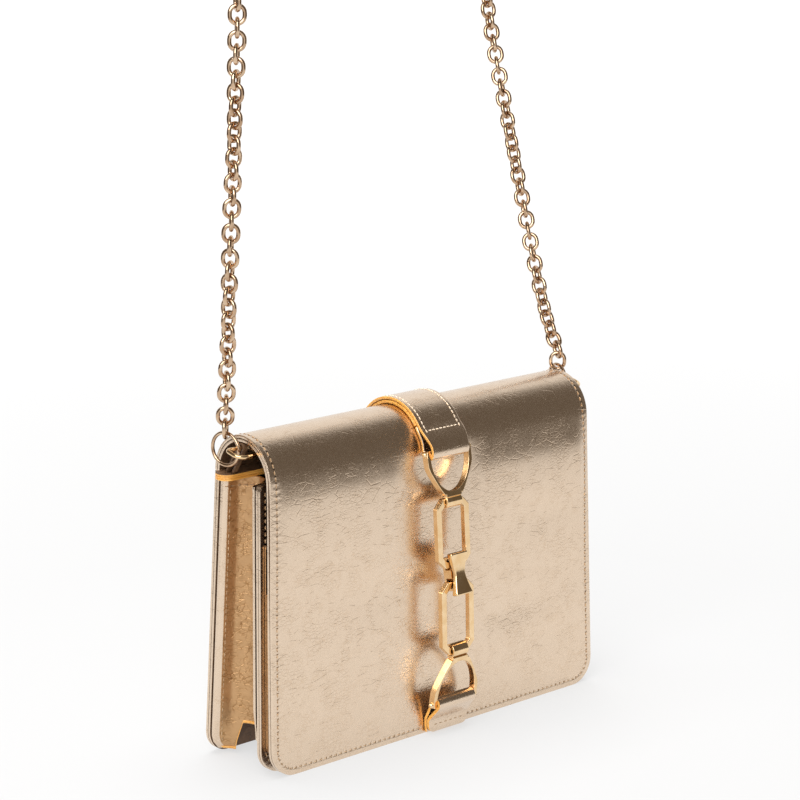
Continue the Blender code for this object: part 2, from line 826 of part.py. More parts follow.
class Slant:
    """A flat frame in the YZ plane: u runs along X, v from one pivot towards the next, n out of the flap."""

    def __init__(self, start, towards, offset=0.0):
        run = Vector((towards[0] - start[0], towards[1] - start[1]))
        self.length = math.sqrt(run.length_squared - offset * offset)
        turn = math.atan2(offset, self.length)
        flip = 1.0 if run.y < 0 else -1.0
        run.normalize()
        cosine = math.cos(flip * turn)
        sine = math.sin(flip * turn)
        self.v = Vector((run.x * cosine - run.y * sine, run.x * sine + run.y * cosine))
        self.n = Vector((self.v.y, -self.v.x)) * flip
        self.start = Vector(start)

    def point(self, u, v, n):
        spot = self.start + self.v * v + self.n * n
        return (STRIP_X + u, spot.x, spot.y)


def stirrup_pairs(length, neck_end):
    """Matching (outer, inner) outline points of the right half, from the bar round to the neck."""
    r = BAR_RADIUS
    wide = STIRRUP_HALF_WIDTH
    inside = wide - STIRRUP_RIM
    depth = length - STIRRUP_THROAT - r - CURL_WALL
    corner = STIRRUP_CORNER
    pairs = [((0.0, -r), (0.0, r)), ((wide - corner, -r), (inside, r)), ((wide, corner - r), (inside, r + corner))]
    for turn in (14, 30, 46, 60, 72):
        a = math.radians(turn)
        outer_u = max(wide * math.cos(a), NECK_HALF_WIDTH)
        pairs.append(
            ((outer_u, r + (length - r) * math.sin(a)), (inside * math.cos(a), r + depth * math.sin(a)))
        )
    last = pairs[-1][0][1]
    pairs[-1] = ((NECK_HALF_WIDTH, min(last, neck_end - 1.0)), pairs[-1][1])
    pairs.append(
        ((NECK_HALF_WIDTH, neck_end), (inside * math.cos(math.radians(82)), r + depth * math.sin(math.radians(82))))
    )
    pairs.append(((0.0, neck_end), (0.0, r + depth)))
    return pairs


def build_stirrup(name, bar, hook, clearance):
    """A D frame round its bar, with a flat neck that curls round the next link's end bar."""
    curl_in = BAR_CORNER + clearance
    curl_out = curl_in + CURL_WALL
    front = BAR_RADIUS
    frame = Slant(bar, hook, offset=front - curl_out)
    neck_end = frame.length - curl_in - CURL_OVERLAP
    right = stirrup_pairs(frame.length, neck_end)
    left = [((-o[0], o[1]), (-i[0], i[1])) for o, i in reversed(right[1:-1])]
    rings = []
    for outer, inner in right + left:
        o = Vector(outer)
        i = Vector(inner)
        on_bar = o.y <= -BAR_RADIUS
        edge = BAR_RADIUS * (1 - math.tan(math.pi / 8)) if on_bar else STIRRUP_EDGE
        step = (i - o).normalized() * edge
        back = -BAR_RADIUS if on_bar else front - STIRRUP_PLATE
        ring = [
            (o, back + edge),
            (o, front - edge),
            (o + step, front),
            (i - step, front),
            (i, front - edge),
            (i, back + edge),
            (i - step, back),
            (o + step, back),
        ]
        rings.append([frame.point(p.x, p.y, n) for p, n in ring])
    piece = loft(name, rings, light_gold(name), cyclic=True, pivot=(STRIP_X, *bar), smooth=True)
    centre = (frame.length, front - curl_out)
    rings = []
    for k in range(13):
        angle = math.radians(-115 + 300 * k / 12)
        ring = []
        for u, radius in ((-1, curl_out), (1, curl_out), (1, curl_in), (-1, curl_in)):
            ring.append(
                frame.point(
                    u * NECK_HALF_WIDTH,
                    centre[0] + radius * math.sin(angle),
                    centre[1] + radius * math.cos(angle),
                )
            )
        rings.append(ring)
    curl = loft(name + " curl", rings, piece.data.materials[0], pivot=(STRIP_X, *bar))
    union(piece, curl)
    return piece


def build_long_link(name, top, foot):
    """An eight-cornered frame of bar with slanted corners."""
    frame = Slant(top, foot)
    across = LONG_LINK_HALF_WIDTH - LINK_BAR
    cut = LONG_LINK_CHAMFER
    length = frame.length
    corners = [
        (across, cut),
        (across, length - cut),
        (across - cut, length),
        (-across + cut, length),
        (-across, length - cut),
        (-across, cut),
        (-across + cut, 0.0),
        (across - cut, 0.0),
    ]
    rings = []
    for i, corner in enumerate(corners):
        here = Vector(corner)
        back = (here - Vector(corners[i - 1])).normalized()
        ahead = (Vector(corners[(i + 1) % 8]) - here).normalized()
        along = (back + ahead).normalized()
        out = Vector((along.y, -along.x))
        stretch = 1.0 / max(out.dot(Vector((back.y, -back.x))), 0.5)
        ring = []
        for k in range(8):
            angle = math.pi * (k + 0.5) / 4
            p = here + out * (BAR_CORNER * math.cos(angle) * stretch)
            ring.append(frame.point(p.x, p.y, BAR_CORNER * math.sin(angle)))
        rings.append(ring)
    return loft(name, rings, light_gold(name), cyclic=True, pivot=(STRIP_X, *top), smooth=True)


def cover_ring(frame, waist, share):
    """A section of the cover at a share of its half length: it widens and rises from its waist to its ends."""
    reach = abs(share)
    v = waist + share * (waist + COVER_OVERHANG)
    u = COVER_WAIST_HALF_WIDTH + (COVER_END_HALF_WIDTH - COVER_WAIST_HALF_WIDTH) * reach
    near = BAR_CORNER + GAP
    far = near + COVER_THICKNESS + COVER_RISE * reach
    edge = COVER_EDGE
    section = ((-u, near), (u, near), (u, far - edge), (u - edge, far), (edge - u, far), (-u, far - edge))
    return [frame.point(x, v, n) for x, n in section]


def build_connector():
    """A bow-shaped cover with a valley at its waist, and behind it a core with two lips and a post."""
    frame = Slant(UPPER_LINK_FOOT, LOWER_LINK_TOP)
    length = frame.length
    waist = length / 2
    pivot = (STRIP_X, *UPPER_LINK_FOOT)
    rings = [cover_ring(frame, waist, share) for share in (-1.0, -0.5, 0.0, 0.5, 1.0)]
    loft("connector_cover", rings, light_gold("cover metal"), pivot=pivot)
    front = BAR_CORNER + GAP
    lip = front - CORE_LIP_GAP
    inner_end = BAR_CORNER + GAP
    outer_end = inner_end + CORE_THICKNESS
    web_front = -BAR_CORNER - GAP
    web_back = web_front - CORE_THICKNESS
    post = front - GAP
    half_post = POST_HEIGHT / 2
    outline = [
        (-outer_end, web_back),
        (-outer_end, lip),
        (-inner_end, lip),
        (-inner_end, web_front),
        (waist - half_post, web_front),
        (waist - half_post, post),
        (waist + half_post, post),
        (waist + half_post, web_front),
        (length + inner_end, web_front),
        (length + inner_end, lip),
        (length + outer_end, lip),
        (length + outer_end, web_back),
    ]
    rings = [[frame.point(u, v, n) for v, n in outline] for u in (-CORE_HALF_WIDTH, CORE_HALF_WIDTH)]
    loft("connector_core", rings, light_gold("core metal"), pivot=pivot)


def build_hardware():
    build_stirrup("upper_stirrup", UPPER_BAR, UPPER_LINK_TOP, CURL_CLEARANCE)
    build_long_link("upper_link", UPPER_LINK_TOP, UPPER_LINK_FOOT)
    build_connector()
    build_long_link("lower_link", LOWER_LINK_TOP, LOWER_LINK_FOOT)
    build_stirrup("lower_stirrup", LOWER_BAR, LOWER_LINK_FOOT, OPEN_CURL_CLEARANCE)


def clear_scene():
    for item in list(bpy.data.objects):
        bpy.data.objects.remove(item, do_unlink=True)


def main():
    clear_scene()
    build_back()
    build_front()
    build_card_slots()
    build_slip_pocket()
    build_base()
    build_snap()
    for side, word, turn in ((-1, "left", LEFT_LINK_TURN), (1, "right", RIGHT_LINK_TURN)):
        build_gusset("gusset_" + word, side)
        build_ring_tab("ring_tab_" + word, side)
        build_keeper("ring_keeper_" + word, side)
        build_d_ring("d_ring_" + word, side)
        build_round_ring("ring_" + word, side)
        build_end_link("chain_link_" + word, side, turn)
    build_chain()
    build_flap()
    build_strap()
    build_lower_tab()
    build_hardware()


main()
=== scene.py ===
"""Leather clutch bag with a chain and a strip of pivoting hardware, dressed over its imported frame."""

import json
import logging
import math
from bisect import bisect_left
from dataclasses import dataclass, field
from enum import Enum
from typing import Callable, Optional, Sequence

import bmesh
import bpy
from mathutils import Matrix, Vector

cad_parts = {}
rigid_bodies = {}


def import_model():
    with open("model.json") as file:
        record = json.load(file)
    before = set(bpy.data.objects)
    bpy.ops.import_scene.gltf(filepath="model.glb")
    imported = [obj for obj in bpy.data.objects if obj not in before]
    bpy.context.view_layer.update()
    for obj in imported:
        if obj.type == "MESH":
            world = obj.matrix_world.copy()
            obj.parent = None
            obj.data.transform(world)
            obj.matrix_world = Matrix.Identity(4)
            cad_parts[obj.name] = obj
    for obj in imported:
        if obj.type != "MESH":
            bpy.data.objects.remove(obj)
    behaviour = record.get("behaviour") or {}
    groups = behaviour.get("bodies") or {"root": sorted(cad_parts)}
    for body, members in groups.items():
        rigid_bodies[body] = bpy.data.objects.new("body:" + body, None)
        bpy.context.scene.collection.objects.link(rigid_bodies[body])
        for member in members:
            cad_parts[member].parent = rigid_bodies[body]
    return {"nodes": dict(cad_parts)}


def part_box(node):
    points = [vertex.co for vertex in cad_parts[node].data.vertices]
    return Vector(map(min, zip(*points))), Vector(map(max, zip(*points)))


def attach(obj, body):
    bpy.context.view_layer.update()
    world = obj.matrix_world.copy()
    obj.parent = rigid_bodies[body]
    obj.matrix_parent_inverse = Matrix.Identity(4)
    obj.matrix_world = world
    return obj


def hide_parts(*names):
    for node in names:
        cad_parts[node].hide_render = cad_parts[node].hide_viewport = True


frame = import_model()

MM = 0.001
BACK_FOOT_Y = 26.6
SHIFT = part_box("back_panel")[1].y / MM - BACK_FOOT_Y

log = logging.getLogger("clutch_bag")

Point = tuple[float, float, float]
Flat = tuple[float, float]
Placed = tuple[Vector, Vector]
Face = tuple[int, ...]
Socket = bpy.types.NodeSocket
Material = bpy.types.Material
Piece = bpy.types.Object
Loft = tuple[Sequence[Sequence[Vector]], bool]
SIDES = ((-1, "left"), (1, "right"))


class Slot(Enum):
    """The record's material slots."""

    LEATHER = "metallic_leather"
    LINING = "lining_leather"
    PAINT = "painted_leather"
    METAL = "light_gold_metal"
    CHAIN = "chain_metal"


def spot(x: float, y: float, z: float) -> Vector:
    """A place in the bag's own millimetres, as a point of the frame in metres.

    Args:
        x, y, z: millimetres, with the bag's XZ plane in the middle of its crown.

    Returns:
        The point in metres.
    """
    return Vector((x, y + SHIFT, z)) * MM


def srgb(red: float, green: float, blue: float) -> tuple[float, float, float, float]:
    """A display colour from 0 to 255 as a linear shader colour.

    Args:
        red, green, blue: display values.

    Returns:
        Linear red, green and blue, and an alpha of 1.
    """
    linear = []
    for value in (red, green, blue):
        share = value / 255
        linear.append(share / 12.92 if share <= 0.04045 else ((share + 0.055) / 1.055) ** 2.4)
    return (*linear, 1.0)


def ease(share: float) -> float:
    """A share between 0 and 1 that starts and ends softly."""
    share = min(max(share, 0.0), 1.0)
    return share * share * (3 - 2 * share)


def distances(points: Sequence[Vector]) -> list[float]:
    """How far along a line each of its points is."""
    runs = [0.0]
    for a, b in zip(points, points[1:]):
        runs.append(runs[-1] + (b - a).length)
    return runs


def locate(runs: Sequence[float], run: float) -> tuple[int, float]:
    """Finds a place on a measured line.

    Args:
        runs: how far along each of its points is.
        run: how far along the place is.

    Returns:
        The point before the place, and its share of the way to the next.
    """
    i = min(max(bisect_left(runs, run) - 1, 0), len(runs) - 2)
    return i, (run - runs[i]) / max(runs[i + 1] - runs[i], 1e-9)


# Finishes


class Nodes:
    """The nodes of one tree, with short calls for the few kinds that the scene uses."""

    def __init__(self, tree: bpy.types.NodeTree) -> None:
        """Starts on a tree."""
        self.tree = tree

    def add(self, kind: str, **settings: object) -> bpy.types.Node:
        """Adds a node.

        Args:
            kind: Blender's word for it, without ShaderNode.
            settings: the node's own settings.

        Returns:
            The node.
        """
        node = self.tree.nodes.new(f"ShaderNode{kind}")
        for name, value in settings.items():
            setattr(node, name, value)
        return node

    def fill(self, socket: Socket, value: object) -> None:
        """Sets a socket to a number or colour, or links it where the value is another node's output."""
        if isinstance(value, Socket):
            self.tree.links.new(value, socket)
        else:
            socket.default_value = value

    def math(self, operation: str, a: object, b: object = 0.0, c: object = 0.0) -> Socket:
        """One step of arithmetic.

        Args:
            operation: Blender's word for it.
            a, b, c: numbers or outputs.

        Returns:
            The result.
        """
        node = self.add("Math", operation=operation)
        for socket, value in zip(node.inputs, (a, b, c)):
            self.fill(socket, value)
        return node.outputs[0]

    def vector(self, operation: str, a: Socket, b: Optional[Point] = None) -> bpy.types.Node:
        """One step of arithmetic with directions.

        Args:
            operation: Blender's word for it.
            a: the first direction's output.
            b: the second direction.

        Returns:
            The node.
        """
        node = self.add("VectorMath", operation=operation)
        self.fill(node.inputs[0], a)
        if b is not None:
            self.fill(node.inputs[1], b)
        return node

    def spread(
        self,
        value: Socket,
        low: float,
        high: float,
        to_low: float = 0.0,
        to_high: float = 1.0,
        change: str = "SMOOTHSTEP",
    ) -> Socket:
        """Maps a range of a value to another range.

        Args:
            value: the output to map.
            low, high: the range read.
            to_low, to_high: the range given.
            change: Blender's word for the way between them.

        Returns:
            The mapped value.
        """
        node = self.add("MapRange", interpolation_type=change)
        self.fill(node.inputs["Value"], value)
        for name, number in (("From Min", low), ("From Max", high), ("To Min", to_low), ("To Max", to_high)):
            self.fill(node.inputs[name], number)
        return node.outputs["Result"]

    def mixed(self, share: Socket, a: object, b: object) -> Socket:
        """A colour between two.

        Args:
            share: 0 for the first colour and 1 for the second.
            a, b: colours or outputs.

        Returns:
            The colour output.
        """
        node = self.add("Mix", data_type="RGBA")
        for socket, value in ((node.inputs["Factor"], share), (node.inputs[6], a), (node.inputs[7], b)):
            self.fill(socket, value)
        return node.outputs[2]

    def blended(self, share: object, a: Socket, b: Socket) -> Socket:
        """A shader between two.

        Args:
            share: 0 for the first shader and 1 for the second, as a number or an output.
            a, b: the shaders' outputs.

        Returns:
            The shader output.
        """
        node = self.add("MixShader")
        for socket, value in zip(node.inputs, (share, a, b)):
            self.fill(socket, value)
        return node.outputs[0]


class Graph(Nodes):
    """The nodes of one finish, round its Principled shader."""

    def __init__(self, name: str) -> None:
        """Makes a material with a bare Principled shader.

        Args:
            name: the material's name.
        """
        self.material = bpy.data.materials.new(name)
        self.material.use_nodes = True
        super().__init__(self.material.node_tree)
        self.shader = self.tree.nodes["Principled BSDF"]
        self.place = self.add("TexCoord").outputs["Object"]

    def finished(self, inputs: dict[str, object]) -> Material:
        """Fills the Principled shader.

        Args:
            inputs: numbers or outputs, by the input's name.

        Returns:
            The material.
        """
        for name, value in inputs.items():
            self.fill(self.shader.inputs[name], value)
        return self.material

    def stretched(self, x: float, y: float, z: float) -> Socket:
        """Object coordinates scaled by a different amount along each axis."""
        node = self.add("Mapping")
        self.fill(node.inputs["Scale"], (x, y, z))
        self.fill(node.inputs["Vector"], self.place)
        return node.outputs["Vector"]

    def noise(
        self, size: float, detail: float = 4.0, distortion: float = 0.0, vector: Optional[Socket] = None
    ) -> Socket:
        """Noise with features of a size in millimetres.

        Args:
            size: the features' size.
            detail: octaves.
            distortion: how far the noise is bent.
            vector: coordinates other than the object's.

        Returns:
            The factor output.
        """
        node = self.add("TexNoise")
        self.fill(node.inputs["Vector"], vector or self.place)
        for name, value in (("Scale", 1.0 / (size * MM)), ("Detail", detail), ("Distortion", distortion)):
            self.fill(node.inputs[name], value)
        return node.outputs["Fac"]

    def cells(self, size: float, vector: Socket) -> Socket:
        """How far a place is from the edges of cells of a size in millimetres.

        Args:
            size: the cells' size.
            vector: the coordinates.

        Returns:
            The distance output.
        """
        node = self.add("TexVoronoi", feature="DISTANCE_TO_EDGE")
        self.fill(node.inputs["Vector"], vector)
        self.fill(node.inputs["Scale"], 1.0 / (size * MM))
        return node.outputs["Distance"]

    def without(self, value: Socket) -> Socket:
        """What a value between 0 and 1 leaves of 1."""
        return self.math("SUBTRACT", 1.0, value)

    def mark(self, name: str) -> Socket:
        """A number that the mesh carries at each of its points."""
        return self.add("Attribute", attribute_name=name).outputs["Fac"]

    def bump(self, height: Socket, depth: float, below: Optional[Socket] = None) -> Socket:
        """Relief of a depth in millimetres, over an earlier relief if there is one.

        Args:
            height: the relief, from 0 to 1.
            depth: millimetres between 0 and 1.
            below: the earlier relief's normal.

        Returns:
            The normal output.
        """
        node = self.add("Bump")
        self.fill(node.inputs["Strength"], 1.0)
        self.fill(node.inputs["Distance"], depth * MM)
        self.fill(node.inputs["Height"], height)
        if below is not None:
            self.fill(node.inputs["Normal"], below)
        return node.outputs["Normal"]


@dataclass(frozen=True)
class LeatherFinish:
    """Leather with a crinkled grain, creases and, where the mesh carries them, sewn grooves."""

    name: str
    colour: Point
    shade: Point
    metallic: float
    smooth: float
    rough: float
    grain: float = 0.8
    grain_depth: float = 0.03
    furrow_share: float = 1.2
    crack_share: float = 0.7
    fine_share: float = 0.45
    crease: float = 9.0
    crease_depth: float = 0.05
    broad_depth: float = 0.3
    sewn: bool = False
    seam_inset: float = 3.0
    pitch: float = 3.0
    groove_depth: float = 0.12
    pucker_depth: float = 0.07
    hole: Point = (120, 92, 66)

    def build(self) -> Material:
        """Makes the material.

        Returns:
            The material.
        """
        graph = Graph(self.name)
        bent = graph.noise(self.crease * 1.6, 3.0, 1.2)
        fine = graph.noise(self.grain, 5.0, 0.8)
        crease = graph.noise(self.crease, 4.0, 1.4)
        broad = graph.noise(self.crease * 4.5, 1.0, 0.3)
        lines = graph.spread(graph.cells(self.grain * 3.4, graph.stretched(1.0, 1.0, 1.7)), 0.0, 0.1)
        veins = graph.spread(graph.cells(self.crease * 0.6, graph.stretched(0.7, 0.7, 1.3)), 0.0, 0.055)
        cracks = graph.math("MULTIPLY", graph.without(lines), graph.spread(bent, 0.42, 0.6, 0.12, 1.0))
        furrows = graph.math("MULTIPLY", graph.without(veins), graph.spread(crease, 0.45, 0.6))
        relief = graph.bump(broad, self.broad_depth)
        relief = graph.bump(crease, self.crease_depth, relief)
        relief = graph.bump(graph.without(furrows), self.grain_depth * self.furrow_share, relief)
        relief = graph.bump(graph.without(cracks), self.grain_depth * self.crack_share, relief)
        relief = graph.bump(fine, self.grain_depth * self.fine_share, relief)
        # Painted shade mixed with random tone: the colour turns towards the shade colour along the grain's cracks and
        # in the creased patches, where the relief has its grooves.
        groove_shade_and_tone = graph.spread(graph.math("MULTIPLY_ADD", cracks, 0.5, crease), 0.4, 1.0)
        colour = graph.mixed(groove_shade_and_tone, srgb(*self.colour), srgb(*self.shade))
        if self.sewn:
            away = graph.math("ABSOLUTE", graph.math("SUBTRACT", graph.mark("edge"), self.seam_inset))
            relief = graph.bump(graph.spread(away, 0.2, 1.0), self.groove_depth, relief)
            turn = graph.math("MULTIPLY", graph.mark("run"), 2 * math.pi / self.pitch)
            wave = graph.math("MULTIPLY_ADD", graph.math("COSINE", turn), 0.5, 0.5)
            pucker = graph.math("MULTIPLY", wave, graph.spread(away, 0.2, 2.6, 1.0, 0.0))
            relief = graph.bump(pucker, self.pucker_depth, relief)
            hole = graph.math("MULTIPLY", graph.spread(wave, 0.82, 1.0), graph.spread(away, 0.2, 0.9, 1.0, 0.0))
            colour = graph.mixed(hole, colour, srgb(*self.hole))
        rough = graph.spread(fine, 0.3, 0.7, self.smooth, self.rough)
        return graph.finished({"Base Color": colour, "Metallic": self.metallic, "Roughness": rough, "Normal": relief})


@dataclass(frozen=True)
class PaintFinish:
    """Edge paint: a thick smooth coat in which the leather's layers still show as faint lines."""

    name: str
    colour: Point
    shade: Point
    layer: float = 0.9

    def build(self) -> Material:
        """Makes the material.

        Returns:
            The material.
        """
        graph = Graph(self.name)
        flow = graph.noise(3.5, 4.0, 0.8)
        speck = graph.noise(0.5, 3.0)
        streak = graph.noise(self.layer, 3.0, 0.3, graph.stretched(0.06, 1.0, 1.0))
        colour = graph.mixed(graph.spread(streak, 0.25, 0.75), srgb(*self.shade), srgb(*self.colour))
        rough = graph.spread(speck, 0.3, 0.7, 0.28, 0.5)
        relief = graph.bump(streak, 0.015, graph.bump(flow, 0.06))
        return graph.finished({"Base Color": colour, "Coat Weight": 0.3, "Roughness": rough, "Normal": relief})


@dataclass(frozen=True)
class MetalFinish:
    """Plated metal with faint polishing marks and a little haze."""

    name: str
    colour: Point
    shade: Point
    smooth: float = 0.06
    rough: float = 0.16

    def build(self) -> Material:
        """Makes the material.

        Returns:
            The material.
        """
        graph = Graph(self.name)
        haze = graph.noise(4.0, 4.0, 0.5)
        marks = graph.noise(0.25, 2.0, 0.0, graph.stretched(1.0, 1.0, 0.08))
        dent = graph.noise(2.4, 2.0)
        colour = graph.mixed(graph.spread(haze, 0.3, 0.7), srgb(*self.shade), srgb(*self.colour))
        rough = graph.spread(haze, 0.25, 0.75, self.smooth, self.rough)
        relief = graph.bump(marks, 0.002, graph.bump(dent, 0.02))
        return graph.finished({"Base Color": colour, "Metallic": 1.0, "Roughness": rough, "Normal": relief})


@dataclass(frozen=True)
class ThreadFinish:
    """Waxed sewing thread with a twist."""

    name: str
    colour: Point
    shade: Point

    def build(self) -> Material:
        """Makes the material.

        Returns:
            The material.
        """
        graph = Graph(self.name)
        ply = graph.noise(0.35, 2.0, 0.4, graph.stretched(1.0, 1.0, 0.5))
        colour = graph.mixed(graph.spread(ply, 0.35, 0.65), srgb(*self.shade), srgb(*self.colour))
        rough = graph.spread(ply, 0.3, 0.7, 0.45, 0.65)
        return graph.finished({"Base Color": colour, "Roughness": rough, "Normal": graph.bump(ply, 0.08)})


class Finishes:
    """Every material of the bag, made once, and the pairs of face and edge that the leather pieces have."""

    def __init__(self) -> None:
        """Builds the materials."""
        gold = (232, 210, 186)
        # The shade colour painted into the champagne leather's cracks and creases.
        crease_shade_colour = (224, 200, 174)
        self.leather = LeatherFinish("champagne leather", gold, crease_shade_colour, 1.0, 0.22, 0.31, sewn=True).build()
        self.plain = LeatherFinish("champagne leather without seams", gold, crease_shade_colour, 1.0, 0.2, 0.3).build()
        self.gusset = LeatherFinish(
            "folded gusset leather",
            (198, 158, 114),
            (166, 126, 82),
            metallic=0.8,
            smooth=0.28,
            rough=0.42,
            grain_depth=0.08,
            crease=6.0,
            crease_depth=0.14,
            broad_depth=0.5,
            sewn=True,
            seam_inset=4.0,
        ).build()
        self.lining = LeatherFinish(
            "brown lining leather", (106, 78, 54), (76, 54, 36), 0.1, 0.42, 0.6, grain_depth=0.08
        ).build()
        self.paint = PaintFinish("amber edge paint", (244, 186, 96), (222, 152, 62)).build()
        self.thread = ThreadFinish("waxed thread", (214, 184, 146), (150, 116, 80)).build()
        self.pale_thread = ThreadFinish("pale thread", (246, 230, 208), (214, 188, 156)).build()
        self.amber_thread = ThreadFinish("amber thread", (158, 114, 68), (116, 80, 44)).build()
        self.gold = MetalFinish("light gold plating", (245, 215, 172), (234, 199, 150)).build()
        self.link_gold = MetalFinish("light gold chain plating", (220, 192, 162), (184, 152, 122), 0.04, 0.12).build()
        self.outside = (self.leather, self.plain)
        self.inside = (self.lining, self.plain)
        self.lined = (self.lining, self.paint)
        self.strap = (self.plain, self.paint)


# Mesh work


def make_piece(
    name: str,
    points: Sequence[Vector],
    faces: Sequence[Sequence[int]],
    finishes: Sequence[Material],
    body: str,
    replaces: Sequence[str] = (),
    marks: Optional[dict[str, Sequence[float]]] = None,
    face_finish: Optional[Sequence[int]] = None,
) -> Piece:
    """Makes a mesh piece that rides on a body.

    Args:
        name: the piece's name.
        points: places in metres.
        faces: indices of each face's points.
        finishes: materials, by slot.
        body: the body that carries it.
        replaces: the frame's nodes that it stands for.
        marks: numbers carried at each point, by name.
        face_finish: the material slot of each face.

    Returns:
        The piece.
    """
    mesh = bpy.data.meshes.new(name)
    mesh.from_pydata(points, [], faces)
    for finish in finishes:
        mesh.materials.append(finish)
    if face_finish is not None:
        mesh.polygons.foreach_set("material_index", list(face_finish))
    for mark, values in (marks or {}).items():
        mesh.attributes.new(mark, "FLOAT", "POINT").data.foreach_set("value", list(values))
    mesh.shade_smooth()
    piece = bpy.data.objects.new(name, mesh)
    bpy.context.scene.collection.objects.link(piece)
    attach(piece, body)
    if replaces:
        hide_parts(*replaces)
    return piece


def thicken(piece: Piece, thickness: float, edge: float, even: bool = True) -> None:
    """Gives an open sheet its thickness behind its face, and rounds its edges.

    Args:
        piece: the sheet, with its second material for its edges.
        thickness: millimetres.
        edge: the rounding's width in millimetres.
        even: whether folded places keep the full thickness.
    """
    solid = piece.modifiers.new("thickness", "SOLIDIFY")
    solid.thickness = thickness * MM
    solid.offset = -1.0
    solid.use_even_offset = even
    solid.material_offset_rim = 1
    round_edges(piece, edge, 50.0)


def round_edges(piece: Piece, edge: float, angle: float, segments: int = 3) -> None:
    """Rounds the edges that are sharper than an angle.

    Args:
        piece: the mesh piece.
        edge: the rounding's width in millimetres.
        angle: degrees.
        segments: steps of the rounding.
    """
    bevel = piece.modifiers.new("rounded edge", "BEVEL")
    bevel.width = edge * MM
    bevel.segments = segments
    bevel.limit_method = "ANGLE"
    bevel.angle_limit = math.radians(angle)
    bevel.harden_normals = False


def grid_faces(rows: int, columns: int, flipped: bool) -> list[Face]:
    """Faces of a grid of points.

    Args:
        rows: rows of points.
        columns: points in each row.
        flipped: whether the outside is on the left of the rows' run instead of its right.

    Returns:
        The faces.
    """
    faces = []
    for i in range(rows - 1):
        for j in range(columns - 1):
            a = i * columns + j
            face = (a, a + columns, a + columns + 1, a + 1)
            faces.append(tuple(reversed(face)) if flipped else face)
    return faces


def loft_faces(rings: int, size: int, cyclic: bool) -> list[Face]:
    """Faces that join closed sections into a tube, with its ends filled unless it closes on itself.

    Args:
        rings: sections.
        size: points in a section.
        cyclic: whether the last section joins the first.

    Returns:
        The faces.
    """
    faces = []
    for i in range(rings if cyclic else rings - 1):
        a = i * size
        b = (i + 1) % rings * size
        for k in range(size):
            n = (k + 1) % size
            faces.append((a + k, a + n, b + n, b + k))
    if not cyclic:
        faces.append(tuple(range(size)))
        faces.append(tuple((rings - 1) * size + k for k in reversed(range(size))))
    return faces


def make_solid(
    name: str,
    lofts: Sequence[Loft],
    finishes: Sequence[Material],
    body: str,
    replaces: Sequence[str] = (),
    face_finish: Optional[Sequence[int]] = None,
) -> Piece:
    """Makes a piece of one or more tubes, with its faces turned outwards.

    Args:
        name, finishes, body, replaces, face_finish: as for make_piece.
        lofts: each tube's sections, in metres, and whether it closes on itself.

    Returns:
        The piece.
    """
    points: list[Vector] = []
    faces: list[Face] = []
    for rings, cyclic in lofts:
        first = len(points)
        for ring in rings:
            points.extend(ring)
        faces += [tuple(first + k for k in face) for face in loft_faces(len(rings), len(rings[0]), cyclic)]
    piece = make_piece(name, points, faces, finishes, body, replaces, face_finish=face_finish)
    work = bmesh.new()
    work.from_mesh(piece.data)
    bmesh.ops.recalc_face_normals(work, faces=work.faces)
    work.to_mesh(piece.data)
    work.free()
    return piece


class Profile:
    """A line in the YZ plane with its outside on its right, such as a leather layer's outer face."""

    def __init__(self, points: Sequence[Flat], left: bool = False) -> None:
        """Measures the line.

        Args:
            points: (y, z) in millimetres.
            left: whether the outside is on the line's left instead.
        """
        self.points = [Vector(p) for p in points]
        self.left = left
        self.runs = distances(self.points)
        self.length = self.runs[-1]
        self.normals = []
        for i in range(len(points)):
            run = self.points[min(i + 1, len(points) - 1)] - self.points[max(i - 1, 0)]
            run.normalize()
            self.normals.append(Vector((run.y, -run.x)) * (-1.0 if left else 1.0))

    def at(self, run: float, lift: float = 0.0) -> Placed:
        """The place at a distance along the line.

        Args:
            run: millimetres from its start.
            lift: millimetres outwards.

        Returns:
            The (y, z) place and the outward direction.
        """
        i, share = locate(self.runs, run)
        normal = self.normals[i].lerp(self.normals[i + 1], share).normalized()
        return self.points[i].lerp(self.points[i + 1], share) + normal * lift, normal

    def shifted(self, lift: float) -> "Profile":
        """The line some millimetres further out."""
        return Profile([tuple(self.at(run, lift)[0]) for run in self.runs])


